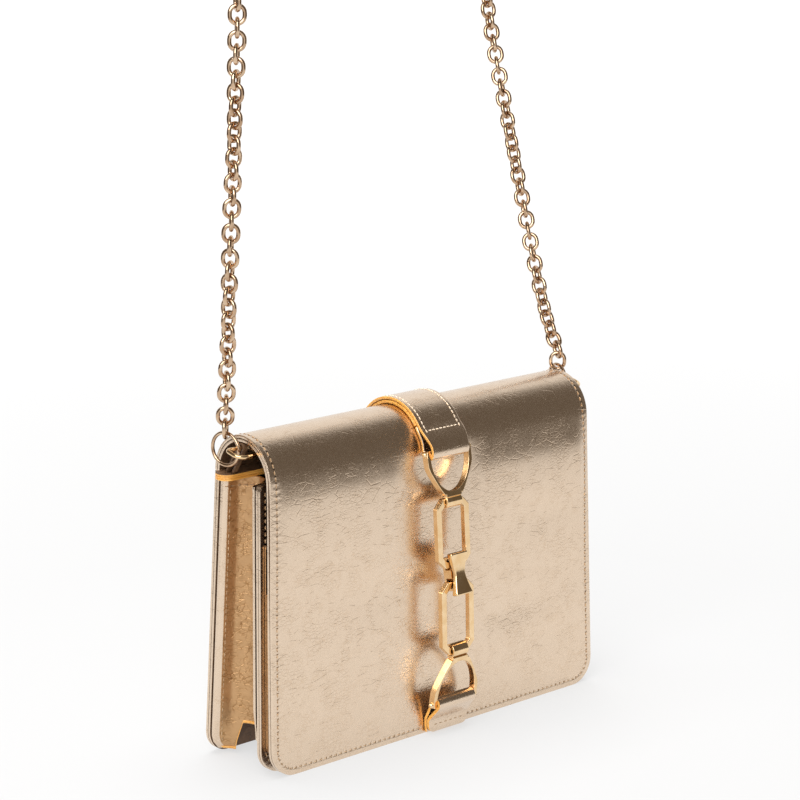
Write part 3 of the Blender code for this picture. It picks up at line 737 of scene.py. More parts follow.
@dataclass
class Ribbon:
    """A flat piece of leather laid along a profile: its width may change, and its ends may have rounded corners."""

    profile: Profile
    half_width: Callable[[float], float]
    middle: float = 0.0
    start_corner: float = 0.0
    end_corner: float = 0.0
    start_edge: bool = True
    end_edge: bool = True
    step: float = 3.0
    wave: Optional[Callable[[float, float], float]] = None
    rim: Sequence[float] = (0.0, 1.0, 2.0, 3.0, 4.2, 6.0)
    end_rows: Sequence[float] = (0.0, 1.0, 2.0, 3.0, 4.2, 5.6)
    clear: float = 0.8

    def inset(self, run: float) -> float:
        """How far the rounded corners pull the sides in at a place along the ribbon."""
        pulled = 0.0
        for corner, away in ((self.start_corner, run), (self.end_corner, self.profile.length - run)):
            if away < corner:
                pulled = corner - math.sqrt(max(corner**2 - (corner - max(away, 0.0)) ** 2, 0.0))
        return pulled

    def point(self, x: float, run: float, lift: float = 0.0) -> Placed:
        """A place on the ribbon's outer face.

        Args:
            x: millimetres from the ribbon's middle.
            run: millimetres along it.
            lift: millimetres off the face.

        Returns:
            The point in metres and the outward direction.
        """
        extra = self.wave(x, run) if self.wave else 0.0
        place, normal = self.profile.at(run, lift + extra)
        return spot(self.middle + x, place.x, place.y), Vector((0.0, normal.x, normal.y))

    def edge_marks(self, x: float, run: float) -> Flat:
        """How far a place is from the ribbon's edge, and how far along the edge the nearest edge point is.

        Args:
            x, run: the place.

        Returns:
            The distance and the run, in millimetres.
        """
        side = self.half_width(run) - abs(x)
        best = (side, run)
        ends = []
        if self.end_edge:
            ends.append((self.profile.length - run, self.end_corner, self.profile.length, 1.0))
        if self.start_edge:
            ends.append((run, self.start_corner, 0.0, -1.0))
        for away, corner, start, sign in ends:
            if side < corner and away < corner:
                angle = math.atan2(corner - away, corner - side)
                distance = corner - math.hypot(corner - side, corner - away)
                return distance, start + sign * (corner * angle - corner)
            if away < best[0]:
                best = (away, start + sign * (corner * (math.pi / 2 - 1) + side - corner))
        return best

    def stations(self) -> list[float]:
        """Places along the ribbon for its rows of points, closer together near its ends."""
        length = self.profile.length
        runs = set()
        for corner, at_end in ((self.start_corner, False), (self.end_corner, True)):
            if corner:
                near = [corner * (1 - math.sin(math.pi / 2 * k / 10)) for k in range(11)]
            else:
                near = self.end_rows
            runs.update(round(length - d if at_end else d, 4) for d in near if d < length / 2)
        count = max(round(length / self.step), 2)
        low = (self.start_corner or self.end_rows[-1]) + self.clear
        high = length - (self.end_corner or self.end_rows[-1]) - self.clear
        for k in range(1, count):
            run = length * k / count
            if low < run < high:
                runs.add(round(run, 4))
        return sorted(runs)

    def build(
        self,
        name: str,
        thickness: float,
        finishes: Sequence[Material],
        body: str,
        slot: Slot,
        replaces: Sequence[str] = (),
        edge: float = 0.4,
    ) -> Piece:
        """Makes the piece.

        Args:
            name: the piece's name.
            thickness: millimetres behind the profile.
            finishes: the face's material and the edge's.
            body: the body that carries it.
            slot: the record's slot; not used.
            replaces: the frame's nodes that it stands for.
            edge: the edges' rounding in millimetres.

        Returns:
            The piece.
        """
        stations = self.stations()
        widest = max(self.half_width(run) for run in stations)
        rim = [d for d in self.rim if d < widest * 0.6]
        inner = max(math.ceil(2 * (widest - rim[-1]) / self.step), 1)
        points = []
        marks: dict[str, list[float]] = {"edge": [], "run": []}
        for run in stations:
            full = self.half_width(run)
            w = full - self.inset(run)
            scale = w / full
            xs = [-(w - d * scale) for d in rim]
            flat = w - rim[-1] * scale
            xs += [-flat + 2 * flat * k / inner for k in range(1, inner)]
            xs += [w - d * scale for d in reversed(rim)]
            for x in xs:
                points.append(self.point(x, run)[0])
                distance, along = self.edge_marks(x, run)
                marks["edge"].append(distance)
                marks["run"].append(along)
        faces = grid_faces(len(stations), len(points) // len(stations), self.profile.left)
        piece = make_piece(name, points, faces, finishes, body, replaces, marks)
        thicken(piece, thickness, edge)
        return piece

    def seam(self, inset: float, start: float, round_start: bool = False) -> list[Placed]:
        """A line of stitching inside the edge: down one side, round the end and up the other side.

        Args:
            inset: millimetres from the edge.
            start: where along the ribbon it begins and ends.
            round_start: whether it crosses the start too and closes.

        Returns:
            Places with their outward directions.
        """
        length = self.profile.length
        corner = max(self.end_corner, inset)
        steps = max(int(length - corner - start), 2)
        down = [start + (length - corner - start) * k / steps for k in range(steps + 1)]
        half = [(self.half_width(run) - inset, run) for run in down]
        flat = self.half_width(length) - corner
        for k in range(1, 11):
            angle = math.pi / 2 * k / 10
            run = length - corner + (corner - inset) * math.sin(angle)
            half.append((flat + (corner - inset) * math.cos(angle), run))
        spots = [(-x, run) for x, run in half]
        steps = max(int(2 * flat), 2)
        spots += [(-flat + 2 * flat * k / steps, length - inset) for k in range(1, steps)]
        spots += reversed(half)
        if round_start:
            wide = self.half_width(start) - inset
            steps = max(int(2 * wide), 2)
            spots += [(wide - 2 * wide * k / steps, start) for k in range(1, steps + 1)]
        return [self.point(x, run) for x, run in spots]


@dataclass
class Stitching:
    """Thread sewn along a line: short raised stitches whose ends dip into the leather."""

    pitch: float = 3.0
    length: float = 2.5
    width: float = 0.42
    flatness: float = 0.75
    dip: float = 0.28
    lift: float = 0.06
    rings: int = 6
    sides: int = 6

    def places(self, line: Sequence[Placed]) -> list[tuple[Vector, Vector, Vector]]:
        """Middles, directions and outward directions of the stitches on a line.

        Args:
            line: places with their outward directions, in metres.

        Returns:
            One entry for each stitch.
        """
        runs = [run / MM for run in distances([place for place, _ in line])]
        count = max(round(runs[-1] / self.pitch), 1)
        found = []
        for k in range(count):
            i, share = locate(runs, runs[-1] * (k + 0.5) / count)
            (here, out), (there, there_out) = line[i : i + 2]
            along = (there - here).normalized()
            found.append((here.lerp(there, share), along, out.lerp(there_out, share).normalized()))
        return found

    def sew(self, name: str, lines: Sequence[Sequence[Placed]], finish: Material, body: str) -> None:
        """Makes all the stitches of some lines as one piece.

        Args:
            name: the piece's name.
            lines: lines of places with their outward directions.
            finish: the thread's material.
            body: the body that carries it.
        """
        lofts = []
        for middle, along, normal in (place for line in lines for place in self.places(line)):
            across = along.cross(normal)
            rings = []
            for i in range(self.rings + 1):
                t = -1 + 2 * i / self.rings
                radius = self.width / 2 * math.sqrt(max(1 - t**4, 0.02))
                ring = []
                for k in range(self.sides):
                    angle = 2 * math.pi * k / self.sides
                    rise = radius * self.flatness * math.sin(angle) - self.dip * t * t + self.lift
                    side = across * (radius * math.cos(angle))
                    ring.append(middle + (along * (t * self.length / 2) + side + normal * rise) * MM)
                rings.append(ring)
            lofts.append((rings, False))
        make_solid(name, lofts, [finish], body)


# Shapes that several pieces share


@dataclass(frozen=True)
class BagShape:
    """The body's outlines, in millimetres."""

    width: float = 200.0
    flare: float = 2.9
    crown_z: float = 135.4
    crown_radius: float = 19.4
    back_foot: float = BACK_FOOT_Y
    flap_foot: float = -22.5
    leather: float = 1.35
    gap: float = 0.3
    flap_corner: float = 13.0
    panel_corner: float = 11.0
    front_top_z: float = 134.0
    front_top_y: float = -12.2
    front_foot_y: float = -14.2
    seam_inset: float = 3.0

    def half_width(self, z: float) -> float:
        """Half the bag's width at a height."""
        return self.width / 2 + self.flare * (self.crown_z - min(z, self.crown_z)) / self.crown_z

    def back_y(self, z: float) -> float:
        """The back's outer face at a height."""
        return self.crown_radius + (self.back_foot - self.crown_radius) * (self.crown_z - z) / self.crown_z

    def flap_y(self, z: float) -> float:
        """The flap's outer face at a height."""
        return -self.crown_radius + (self.flap_foot + self.crown_radius) * (self.crown_z - z) / self.crown_z

    def front_y(self, z: float) -> float:
        """The front panel's outer face at a height."""
        share = (self.front_top_z - z) / self.front_top_z
        return self.front_top_y + (self.front_foot_y - self.front_top_y) * share

    def corner_inset(self, z: float) -> float:
        """How far a panel's rounded lower corner stands in at a height."""
        r = self.panel_corner
        return 0.0 if z >= r else r - math.sqrt(max(r**2 - (r - z) ** 2, 0.0))

    def crown(self, angle: float, radius: float) -> Flat:
        """A point of the crown, from 0 degrees at the back over 90 on top to 180 at the front."""
        turn = math.radians(angle)
        return radius * math.cos(turn), self.crown_z + radius * math.sin(turn)


SHAPE = BagShape()


def tube_path(
    centre: Vector, across: Vector, up: Vector, half_across: float, half_up: float, corners: Flat, steps: int
) -> list[tuple[Vector, Vector, Vector]]:
    """A rounded rectangle in the plane of two directions, as places with their outward and plane directions.

    Args:
        centre: its middle in millimetres of the frame.
        across, up: unit directions.
        half_across, half_up: half sizes in millimetres.
        corners: the radius of its upper and of its lower corners.
        steps: points in a corner.

    Returns:
        The places round it.
    """
    normal = across.cross(up)
    path = []
    for quarter in range(4):
        corner = corners[quarter // 2]
        sign_a = 1 if quarter in (0, 3) else -1
        sign_u = 1 if quarter in (0, 1) else -1
        hub = centre + across * (sign_a * (half_across - corner)) + up * (sign_u * (half_up - corner))
        for k in range(steps + 1):
            angle = math.pi / 2 * (quarter + k / steps)
            out = across * math.cos(angle) + up * math.sin(angle)
            place = hub + out * corner
            if all((place - other).length > 1e-4 for other, _, _ in path):
                path.append((place, out, normal))
    return path


def wire_rings(path: Sequence[tuple[Vector, Vector, Vector]], radius: float, sides: int) -> list[list[Vector]]:
    """Round sections of wire on a closed flat path.

    Args:
        path: places in millimetres with their outward and plane directions.
        radius: the wire's radius in millimetres.
        sides: points in a section.

    Returns:
        The sections, in metres.
    """
    rings = []
    for place, out, normal in path:
        ring = []
        for k in range(sides):
            angle = 2 * math.pi * k / sides
            ring.append((place + out * (radius * math.cos(angle)) + normal * (radius * math.sin(angle))) * MM)
        rings.append(ring)
    return rings


@dataclass
class Ring:
    """A closed piece of round wire that takes the place of a frame node of the same size."""

    name: str
    node: str
    body: str
    slot: Slot
    finish: Material
    centre: Vector
    across: Vector
    up: Vector
    half_across: float
    half_up: float
    corners: Flat
    wire: float
    steps: int = 12
    sides: int = 14

    def build(self) -> Piece:
        """Makes the wire.

        Returns:
            The piece.
        """
        path = tube_path(self.centre, self.across, self.up, self.half_across, self.half_up, self.corners, self.steps)
        rings = wire_rings(path, self.wire, self.sides)
        return make_solid(self.name, [(rings, True)], [self.finish], self.body, (self.node,))


class Slant:
    """A flat frame in the YZ plane: u runs along X, v from one pivot towards the next, n out of the flap."""

    def __init__(self, start: Flat, towards: Flat, middle: float, offset: float = 0.0) -> None:
        """Sets up the frame.

        Args:
            start, towards: the pivots as (y, z) in millimetres.
            middle: the x of u = 0.
            offset: how far off the line v is turned at its far end.
        """
        run = Vector((towards[0] - start[0], towards[1] - start[1]))
        self.length = math.sqrt(run.length_squared - offset * offset)
        turn = math.atan2(offset, self.length)
        flip = 1.0 if run.y < 0 else -1.0
        run.normalize()
        cosine = math.cos(flip * turn)
        sine = math.sin(flip * turn)
        self.v = Vector((run.x * cosine - run.y * sine, run.x * sine + run.y * cosine))
        self.n = Vector((self.v.y, -self.v.x)) * flip
        self.start = Vector(start)
        self.middle = middle

    def point(self, u: float, v: float, n: float) -> Vector:
        """A place in the frame, in metres."""
        place = self.start + self.v * v + self.n * n
        return spot(self.middle + u, place.x, place.y)


# Chain


@dataclass
class Chain:
    """The loop of oval links between the two end links in the round rings."""

    finish: Material
    link_length: float = 9.9
    link_width: float = 8.6
    run_link_length: float = 9.7
    run_link_width: float = 8.4
    run_wire: float = 1.0
    wire: float = 0.92
    pitch: float = 5.55
    end_turn: float = 42.0
    drift: float = 6.0
    ring_x: float = 104.8
    ring_radius: float = 7.4
    ring_wire: float = 0.9
    ring_turn: float = 12.0
    ring_fall: float = 8.6
    bar: Flat = (0.45, 149.2)
    bar_wire: float = 0.85
    gap: float = 0.3

    def ring_centre(self, side: int) -> Point:
        """The middle of a round ring, whose wire rests on the D ring's bar."""
        seat = self.ring_radius * math.cos(math.radians(self.ring_turn)) - self.ring_wire - self.gap - self.bar_wire
        fall = math.radians(self.ring_fall)
        return (side * self.ring_x, self.bar[0] + seat * math.cos(fall), self.bar[1] - seat * math.sin(fall))

    def link_centre(self, side: int) -> Point:
        """The middle of the end link that stands in a round ring."""
        x, y, z = self.ring_centre(side)
        bend = z + self.ring_radius - self.ring_wire - self.gap - self.wire
        return (x, y, bend + self.link_length / 2 - self.wire)

    def end(self, side: int) -> Point:
        """Where the run of links starts, just over an end link."""
        x, y, z = self.link_centre(side)
        return (x, y, z + self.link_length / 2 + self.gap)

    def route(self) -> list[Point]:
        """The loop's own points: up the left strand, over the top and down the right strand."""
        return [
            self.end(-1),
            (-105.5, 3.6, 174.0),
            (-106.6, 0.6, 198.0),
            (-107.3, -2.9, 238.0),
            (-107.9, -7.0, 282.0),
            (-108.2, -10.6, 330.0),
            (-106.5, -10.5, 362.0),
            (-95.0, -5.5, 389.0),
            (-68.0, 4.5, 407.0),
            (-34.0, 15.5, 415.0),
            (0.0, 26.5, 417.0),
            (34.0, 37.5, 414.0),
            (68.0, 48.5, 404.0),
            (95.0, 58.0, 383.0),
            (106.5, 62.5, 354.0),
            (108.2, 59.0, 322.0),
            (107.9, 46.5, 277.0),
            (107.3, 33.6, 234.0),
            (106.6, 20.4, 192.0),
            (105.8, 12.6, 174.0),
            self.end(1),
        ]

    def line(self, steps: int = 16) -> list[Vector]:
        """A smooth line through the route's points, in metres.

        Args:
            steps: points between two of the route's.

        Returns:
            The line's points.
        """
        points = [spot(*p) for p in self.route()]
        ends = [points[0] * 2 - points[1], *points, points[-1] * 2 - points[-2]]
        found = []
        for i in range(1, len(ends) - 2):
            a, b, c, d = ends[i - 1 : i + 3]
            for k in range(steps):
                t = k / steps
                square = t**2 * (2 * a - 5 * b + 4 * c - d)
                cube = t**3 * (3 * b - a - 3 * c + d)
                found.append((2 * b + (c - a) * t + square + cube) / 2)
        return [*found, points[-1]]

    def build(self) -> Piece:
        """Returns:
            The chain.
        """
        line = self.line()
        runs = [run / MM for run in distances(line)]
        margin = self.pitch - self.run_link_length / 2 - self.gap
        count = round((runs[-1] - 2 * margin) / self.pitch)
        turn = math.radians(self.end_turn)
        across = Vector((math.cos(turn), math.sin(turn), 0.0))
        half_across = self.run_link_width / 2 - self.run_wire
        half_up = self.run_link_length / 2 - self.run_wire
        lofts = []
        for k in range(count + 1):
            i, share = locate(runs, margin + (runs[-1] - 2 * margin) * k / count)
            up = (line[i + 1] - line[i]).normalized()
            across = (across - up * across.dot(up)).normalized()
            across = Matrix.Rotation(math.radians(90 + self.drift), 3, up) @ across
            centre = line[i].lerp(line[i + 1], share) / MM
            path = tube_path(centre, across, up, half_across, half_up, (half_across, half_across), 5)
            lofts.append((wire_rings(path, self.run_wire, 9), True))
        chain = make_solid("chain_links", lofts, [self.finish], "chain", ("chain",))
        [self.end_link(side, word) for side, word in SIDES]
        log.info("chain: %d links, %.0f mm", count + 1, runs[-1])
        return chain

    def end_link(self, side: int, word: str) -> Piece:
        """Makes the link that stands in a round ring.

        Args:
            side: -1 for the left and 1 for the right.
            word: the side's name.

        Returns:
            The link.
        """
        angle = math.radians(-side * self.end_turn)
        half_across = self.link_width / 2 - self.wire
        return Ring(
            f"end_link_{word}",
            f"chain_link_{word}",
            "chain",
            Slot.CHAIN,
            self.finish,
            spot(*self.link_centre(side)) / MM,
            Vector((math.cos(angle), math.sin(angle), 0)),
            Vector((0, 0, 1)),
            half_across,
            self.link_length / 2 - self.wire,
            (half_across, half_across),
            self.wire,
        ).build()

    def round_ring(self, side: int, word: str) -> Piece:
        """Makes a round ring between the end link and the D ring.

        Args:
            side: -1 for the left and 1 for the right.
            word: the side's name.

        Returns:
            The ring.
        """
        turn = math.radians(self.ring_turn)
        return Ring(
            f"round_ring_{word}",
            f"ring_{word}",
            "chain",
            Slot.CHAIN,
            self.finish,
            spot(*self.ring_centre(side)) / MM,
            Vector((side * math.sin(turn), math.cos(turn), 0)),
            Vector((0, 0, 1)),
            self.ring_radius,
            self.ring_radius,
            (self.ring_radius, self.ring_radius),
            self.ring_wire - 0.08,
            steps=16,
        ).build()


# Leather body


@dataclass
class LeatherBody:
    """The back, the front with its card slots, the pocket and the floor of the compartment."""

    finishes: Finishes
    stitching: Stitching
    slot_top: float = 106.0
    slot_step: float = 21.5
    slot_leaf: float = 0.8
    slot_foot: float = 9.0
    slot_margin: float = 2.2
    base_z: float = 17.5
    base_sag: float = 1.2
    base_margin: float = 17.0
    base_thickness: float = 1.5
    pocket_top: float = 101.0
    pocket_foot: float = 27.0
    pocket_half_width: float = 79.0
    pocket_leather: float = 1.0
    top_corner: float = 3.0

    def build(self) -> None:
        """Makes the pieces of the body."""
        self.build_back()
        self.build_front()
        self.build_slots()
        self.build_inside()
        log.info("body: back, front, card slots, pocket and base")

    def panel(
        self, line: Callable[[float], float], shift: float, top: float, left: bool, top_corner: float = 0.0
    ) -> Ribbon:
        """A panel's ribbon, from its top down to its foot.

        Args:
            line: the panel's outer face by height.
            shift: how far behind that face the layer's own face is, along Y.
            top: its top's height.
            left: whether its outside is at +Y.
            top_corner: the rounding of its upper corners.

        Returns:
            The ribbon.
        """
        return Ribbon(
            Profile([(line(z) + shift, z) for z in (top, top / 2, 0.0)], left),
            lambda run: SHAPE.half_width(top - run),
            start_corner=top_corner,
            end_corner=SHAPE.panel_corner,
            start_edge=top_corner > 0,
        )

    def build_back(self) -> None:
        """Makes the back with the flap's line of stitching round it, and its lining."""
        top = SHAPE.crown_z - SHAPE.gap / 2
        back = self.panel(SHAPE.back_y, 0.0, top, True)
        back.build("back_leather", SHAPE.leather, self.finishes.outside, "root", Slot.LEATHER, ("back_panel",), 0.6)
        inner = self.panel(SHAPE.back_y, -SHAPE.leather - SHAPE.gap, top, True)
        inner.build("back_inner", SHAPE.leather, self.finishes.inside, "root", Slot.LEATHER, ("back_lining",))
        self.stitching.sew("back_stitches", [back.seam(SHAPE.seam_inset, 0.0)], self.finishes.thread, "root")

    def build_front(self) -> None:
        """Makes the front panel and its lining."""
        top = SHAPE.front_top_z
        front = self.panel(SHAPE.front_y, 0.0, top, False, self.top_corner)
        outside = self.finishes.outside
        front.build("front_leather", SHAPE.leather, outside, "root", Slot.LEATHER, ("front_panel",), 0.6)
        inner = self.panel(SHAPE.front_y, 2 * SHAPE.leather + SHAPE.gap, top, True, self.top_corner)
        inner.build("front_inner", SHAPE.leather, self.finishes.inside, "root", Slot.LINING, ("front_lining",))
        line = front.seam(SHAPE.seam_inset, SHAPE.seam_inset, True)
        self.stitching.sew("front_stitches", [line], self.finishes.thread, "root")

    def build_slots(self) -> None:
        """Makes the leaves of the card slots, which overlap like tiles."""
        for i in range(3):
            top = self.slot_top - self.slot_step * i
            depth = SHAPE.gap + i * (self.slot_leaf + SHAPE.gap) + self.slot_leaf
            leaf = Ribbon(
                Profile([(SHAPE.front_y(z) - depth, z) for z in (top, (top + self.slot_foot) / 2, self.slot_foot)]),
                lambda run, top=top: SHAPE.half_width(top - run) - self.slot_margin,
                end_corner=5.0,
                start_corner=1.0,
            )
            faces = (self.finishes.plain, self.finishes.gusset)
            node = f"card_slot_{i + 1}"
            leaf.build(f"card_leaf_{i + 1}", self.slot_leaf, faces, "root", Slot.LEATHER, (node,), 0.3)
            lines = [leaf.seam(SHAPE.seam_inset, SHAPE.seam_inset, True)]
            self.stitching.sew(f"card_leaf_stitches_{i + 1}", lines, self.finishes.amber_thread, "root")

    def build_inside(self) -> None:
        """Makes the slip pocket and the floor of the compartment."""
        lined = self.finishes.lined
        depth = 2 * SHAPE.leather + 2 * SHAPE.gap
        heights = (self.pocket_top, (self.pocket_top + self.pocket_foot) / 2, self.pocket_foot)
        pocket = Ribbon(
            Profile([(SHAPE.back_y(z) - depth - self.pocket_leather, z) for z in heights]),
            lambda run: self.pocket_half_width,
            end_corner=6.0,
            start_corner=1.0,
        )
        pocket.build("pocket_leaf", self.pocket_leather, lined, "root", Slot.LINING, ("slip_pocket",), 0.3)
        self.stitching.sew("pocket_stitches", [pocket.seam(2.5, 3.0)], self.finishes.thread, "root")
        front = SHAPE.front_y(self.base_z) + depth
        back = SHAPE.back_y(self.base_z) - depth
        line = []
        for share in (k / 12 for k in range(13)):
            line.append((front + (back - front) * share, self.base_z - self.base_sag * math.sin(math.pi * share)))
        half = SHAPE.width / 2 - self.base_margin
        base = Ribbon(Profile(line, True), lambda run: half, start_corner=1.0, end_corner=1.0)
        base.build("compartment_floor", self.base_thickness, lined, "root", Slot.LINING, ("base_strip",))


# Gussets


@dataclass
class Gusset:
    """A folded end of the compartment: flanges sewn to both panels and a hollow fold between them."""

    side: int
    word: str
    finishes: Finishes
    stitching: Stitching
    thickness: float = 1.2
    top: float = 132.7
    edge_inset: float = 0.05
    front_inset: float = 0.35
    flange: float = 6.35
    depth: float = 7.5
    step_z: float = 15.5
    foot_z: float = 2.2
    slant_start: float = 0.195
    slant_end: float = 0.285
    corner_share: float = 0.3
    columns: int = 54
    rows: int = 60
    crinkle: float = 0.35
    roll: float = 1.7
    roll_rise: float = 0.008
    roll_end: float = 0.06
    flange_end: float = 0.055
    bead: float = 1.1
    hem_inset: float = 4.0
    hem_depth: float = 0.18
    hem_away: float = 3.6
    hem_half_width: float = 1.2
    wrap: float = 34.0

    def line(self, share: float, z: float) -> Flat:
        """The middle surface's inset from the side and its y, from the back panel to the front."""
        lining = 2 * SHAPE.leather + 2 * SHAPE.gap + self.thickness / 2
        back = SHAPE.back_y(z) - lining
        front = SHAPE.front_y(z) + lining
        bow = math.sin(math.pi * share) ** 0.9
        inset = self.edge_inset + self.front_inset * share + (self.flange + self.depth) * bow
        return inset, back + (front - back) * share

    def foot(self, share: float) -> float:
        """The stepped lower edge's height."""
        rise = (share - self.slant_start) / (self.slant_end - self.slant_start)
        return self.foot_z + (self.step_z - self.foot_z) * min(max(rise, 0.0), 1.0)

    def point(self, share: float, height: float, lift: float) -> Vector:
        """A place off the gusset's middle surface.

        Args:
            share: 0 at the back panel and 1 at the front.
            height: 0 at the foot and 1 at the top.
            lift: millimetres towards the bag's end.

        Returns:
            The point in metres.
        """
        foot = self.foot(share)
        z = foot + (self.top - foot) * height
        before = Vector(self.line(max(share - 0.01, 0.0), z))
        after = Vector(self.line(min(share + 0.01, 1.0), z))
        along = (after - before).normalized()
        inset, y = self.line(share, z)
        inset += lift * along.y + SHAPE.corner_inset(z) * (1 - ease(share / self.corner_share))
        return spot(self.side * (SHAPE.half_width(z) - inset), y - lift * along.x, z)

    def crinkled(self, share: float, height: float) -> float:
        """Rolled flanges, pull lines that run down from the upper corners, and a hem along the top."""
        edge = min(share, 1 - share)
        past = min(max((edge - self.roll_end) / 0.1, 0.0), 1.0)
        roll = self.roll * (1 - math.exp(-edge / self.roll_rise)) * (1 - past)
        low = min(height * 9, 1.0)
        middle = math.sin(math.pi * share)
        pull = math.sin(26 * share + 34 * height + 2.2 * math.sin(9 * height + 3 * share))
        cross = math.sin(17 * share - 41 * height + 1.4 * math.sin(12 * share))
        fall = 0.35 + 0.65 * height**2
        away = (1 - height) * (self.top - self.foot_z)
        hem = self.hem_depth * (1 - min(abs(away - self.hem_away) / self.hem_half_width, 1.0))
        return self.crinkle * middle * fall * (0.6 * pull + 0.4 * cross) - hem + roll * low

    def build(self) -> None:
        """Makes the gusset and its line of stitching."""
        points = []
        marks: dict[str, list[float]] = {"edge": [], "run": []}
        for i in range(self.columns + 1):
            share = self.share(i)
            for j in range(self.rows + 1):
                height = (j / self.rows) ** 0.85
                lift = self.thickness / 2 - 0.12 + self.crinkled(share, height)
                points.append(self.point(share, height, lift))
                marks["edge"].append((1 - height) * (self.top - self.foot(share)))
                marks["run"].append(share * self.wrap)
        inner = [self.flange_end < self.share(i + 0.5) < 1 - self.flange_end for i in range(self.columns)]
        piece = make_piece(
            f"gusset_leather_{self.word}",
            points,
            grid_faces(self.columns + 1, self.rows + 1, self.side > 0),
            (self.finishes.gusset, self.finishes.plain),
            "root",
            (f"gusset_{self.word}",),
            marks,
            [int(not fold) for fold in inner for _ in range(self.rows)],
        )
        thicken(piece, self.thickness + 0.05, 0.3, False)
        hem = []
        for share in (0.02 + 0.96 * i / 60 for i in range(61)):
            hem.append(self.sewn_place(share, 1 - self.hem_inset / (self.top - self.foot(share))))
        side = [self.sewn_place(0.08, 0.03 + 0.93 * i / 60) for i in range(61)]
        self.stitching.sew(f"gusset_stitches_{self.word}", [hem, side], self.finishes.thread, "root")
        self.build_bead()

    def sewn_place(self, share: float, height: float) -> Placed:
        """A place on the gusset's face for a line of stitching.

        Args:
            share: 0 at the back panel and 1 at the front.
            height: 0 at the foot and 1 at the top.

        Returns:
            The point in metres and the outward direction.
        """
        lift = self.thickness / 2 - 0.05 + self.crinkled(share, height)
        here = self.point(share, height, lift)
        return here, (self.point(share, height, lift + 1.0) - here).normalized()

    def share(self, column: float) -> float:
        """A column's place across the gusset, closer together near both flanges' edges."""
        t = column / self.columns
        return t - 0.11 * math.sin(2 * math.pi * t)

    def build_bead(self) -> None:
        """Makes the thick painted line along the stepped foot."""
        section = ((-0.25, -0.5), (-0.25, 0.35), (0.1, 0.62), (self.bead, 0.62), (self.bead + 0.3, 0.2))
        rings = []
        for share in (0.04 + 0.94 * i / 80 for i in range(81)):
            tall = self.top - self.foot(share)
            low = self.crinkled(share, 0.0)
            rings.append([self.point(share, up / tall, lift + low) for up, lift in section])
        make_solid(f"gusset_bead_{self.word}", [(rings, False)], [self.finishes.paint], "root")


# Ring tabs, keepers and D rings


@dataclass
class RingTab:
    """The painted tab over a gusset, the loop of leather that stands on it and the D ring in the loop."""

    side: int
    word: str
    finishes: Finishes
    chain: Chain
    low: float = 133.0
    thickness: float = 3.0
    depth: float = 10.4
    reach: float = 105.2
    inner_end: float = 62.0
    rounding: float = 5.0
    layers: int = 3
    keeper_leather: float = 1.0
    keeper_width: float = 2.6
    keeper_foot_y: float = 9.0
    d_inner: float = 96.2
    d_outer: float = 108.2
    d_depth: float = 8.6
    d_tilt: float = 14.0
    d_bar_corner: float = 1.5
    d_bow_corner: float = 4.2

    def outline(self) -> list[Flat]:
        """The tab's outline seen from above, as (x, y) for the right end."""
        back = SHAPE.crown_radius - 2 * SHAPE.leather - 2 * SHAPE.gap
        front = back - self.depth
        points = [(self.inner_end, back), (self.inner_end, front)]
        for sign, y, start in ((1, front, 270), (-1, back, 0)):
            centre = y + sign * self.rounding
            for k in range(13):
                angle = math.radians(start + 90 * k / 12)
                x = self.reach - self.rounding + self.rounding * math.cos(angle)
                points.append((x, centre + self.rounding * math.sin(angle)))
        return points

    def build(self) -> None:
        """Makes the tab, the keeper and the D ring."""
        lofts = []
        finish_of: list[int] = []
        outline = self.outline()
        step = self.thickness / self.layers
        for i in range(self.layers):
            low = self.low + step * i
            rings = [[spot(self.side * x, y, z) for x, y in outline] for z in (low, low + step - 0.04)]
            lofts.append((rings, False))
            finish_of += [0] * len(outline) + [0, int(i == self.layers - 1)]
        name = f"ring_tab_leather_{self.word}"
        finishes = (self.finishes.paint, self.finishes.lining)
        tab = make_solid(name, lofts, finishes, "root", (f"ring_tab_{self.word}",), finish_of)
        round_edges(tab, 0.3, 40.0)
        self.build_keeper()
        self.build_d_ring()

    def build_keeper(self) -> None:
        """Makes the loop of leather that holds the D ring's bar."""
        bar_y, bar_z = self.chain.bar
        radius = self.chain.bar_wire + SHAPE.gap + self.keeper_leather
        top = self.low + self.thickness
        lean = math.atan2(self.keeper_foot_y - bar_y, bar_z - top)
        foot = top + SHAPE.gap + self.keeper_leather / 2 * math.sin(lean)
        drop = bar_z - foot
        feet = [bar_y + drop * math.tan(lean) + side * radius / math.cos(lean) for side in (-1, 1)]
        angles = [lean + math.pi * (1 - k / 16) for k in range(17)]
        loop = [(bar_y + radius * math.cos(a), bar_z + radius * math.sin(a)) for a in angles]
        line = [(feet[0], foot), *loop, (feet[1], foot)]
        middle = self.side * (self.d_inner + self.d_bar_corner + SHAPE.gap + self.keeper_width / 2)
        keeper = Ribbon(Profile(line, True), lambda run: self.keeper_width / 2, middle=middle, step=1.0)
        finishes = (self.finishes.lining, self.finishes.lining)
        replaces = (f"ring_keeper_{self.word}",)
        keeper.build(f"keeper_loop_{self.word}", self.keeper_leather, finishes, "root", Slot.LINING, replaces, 0.25)

    def build_d_ring(self) -> None:
        """Makes the D ring."""
        tilt = math.radians(self.d_tilt)
        back = Vector((0, math.cos(tilt), math.sin(tilt)))
        bar = spot(self.side * (self.d_inner + self.d_outer) / 2, *self.chain.bar) / MM
        Ring(
            f"d_wire_{self.word}",
            f"d_ring_{self.word}",
            f"d_ring_{self.word}",
            Slot.METAL,
            self.finishes.gold,
            bar - back * (self.d_depth / 2),
            Vector((1, 0, 0)),
            back,
            (self.d_outer - self.d_inner) / 2,
            self.d_depth / 2,
            (self.d_bar_corner, self.d_bow_corner),
            self.chain.bar_wire + 0.1,
        ).build()


# Flap, strap and lower tab


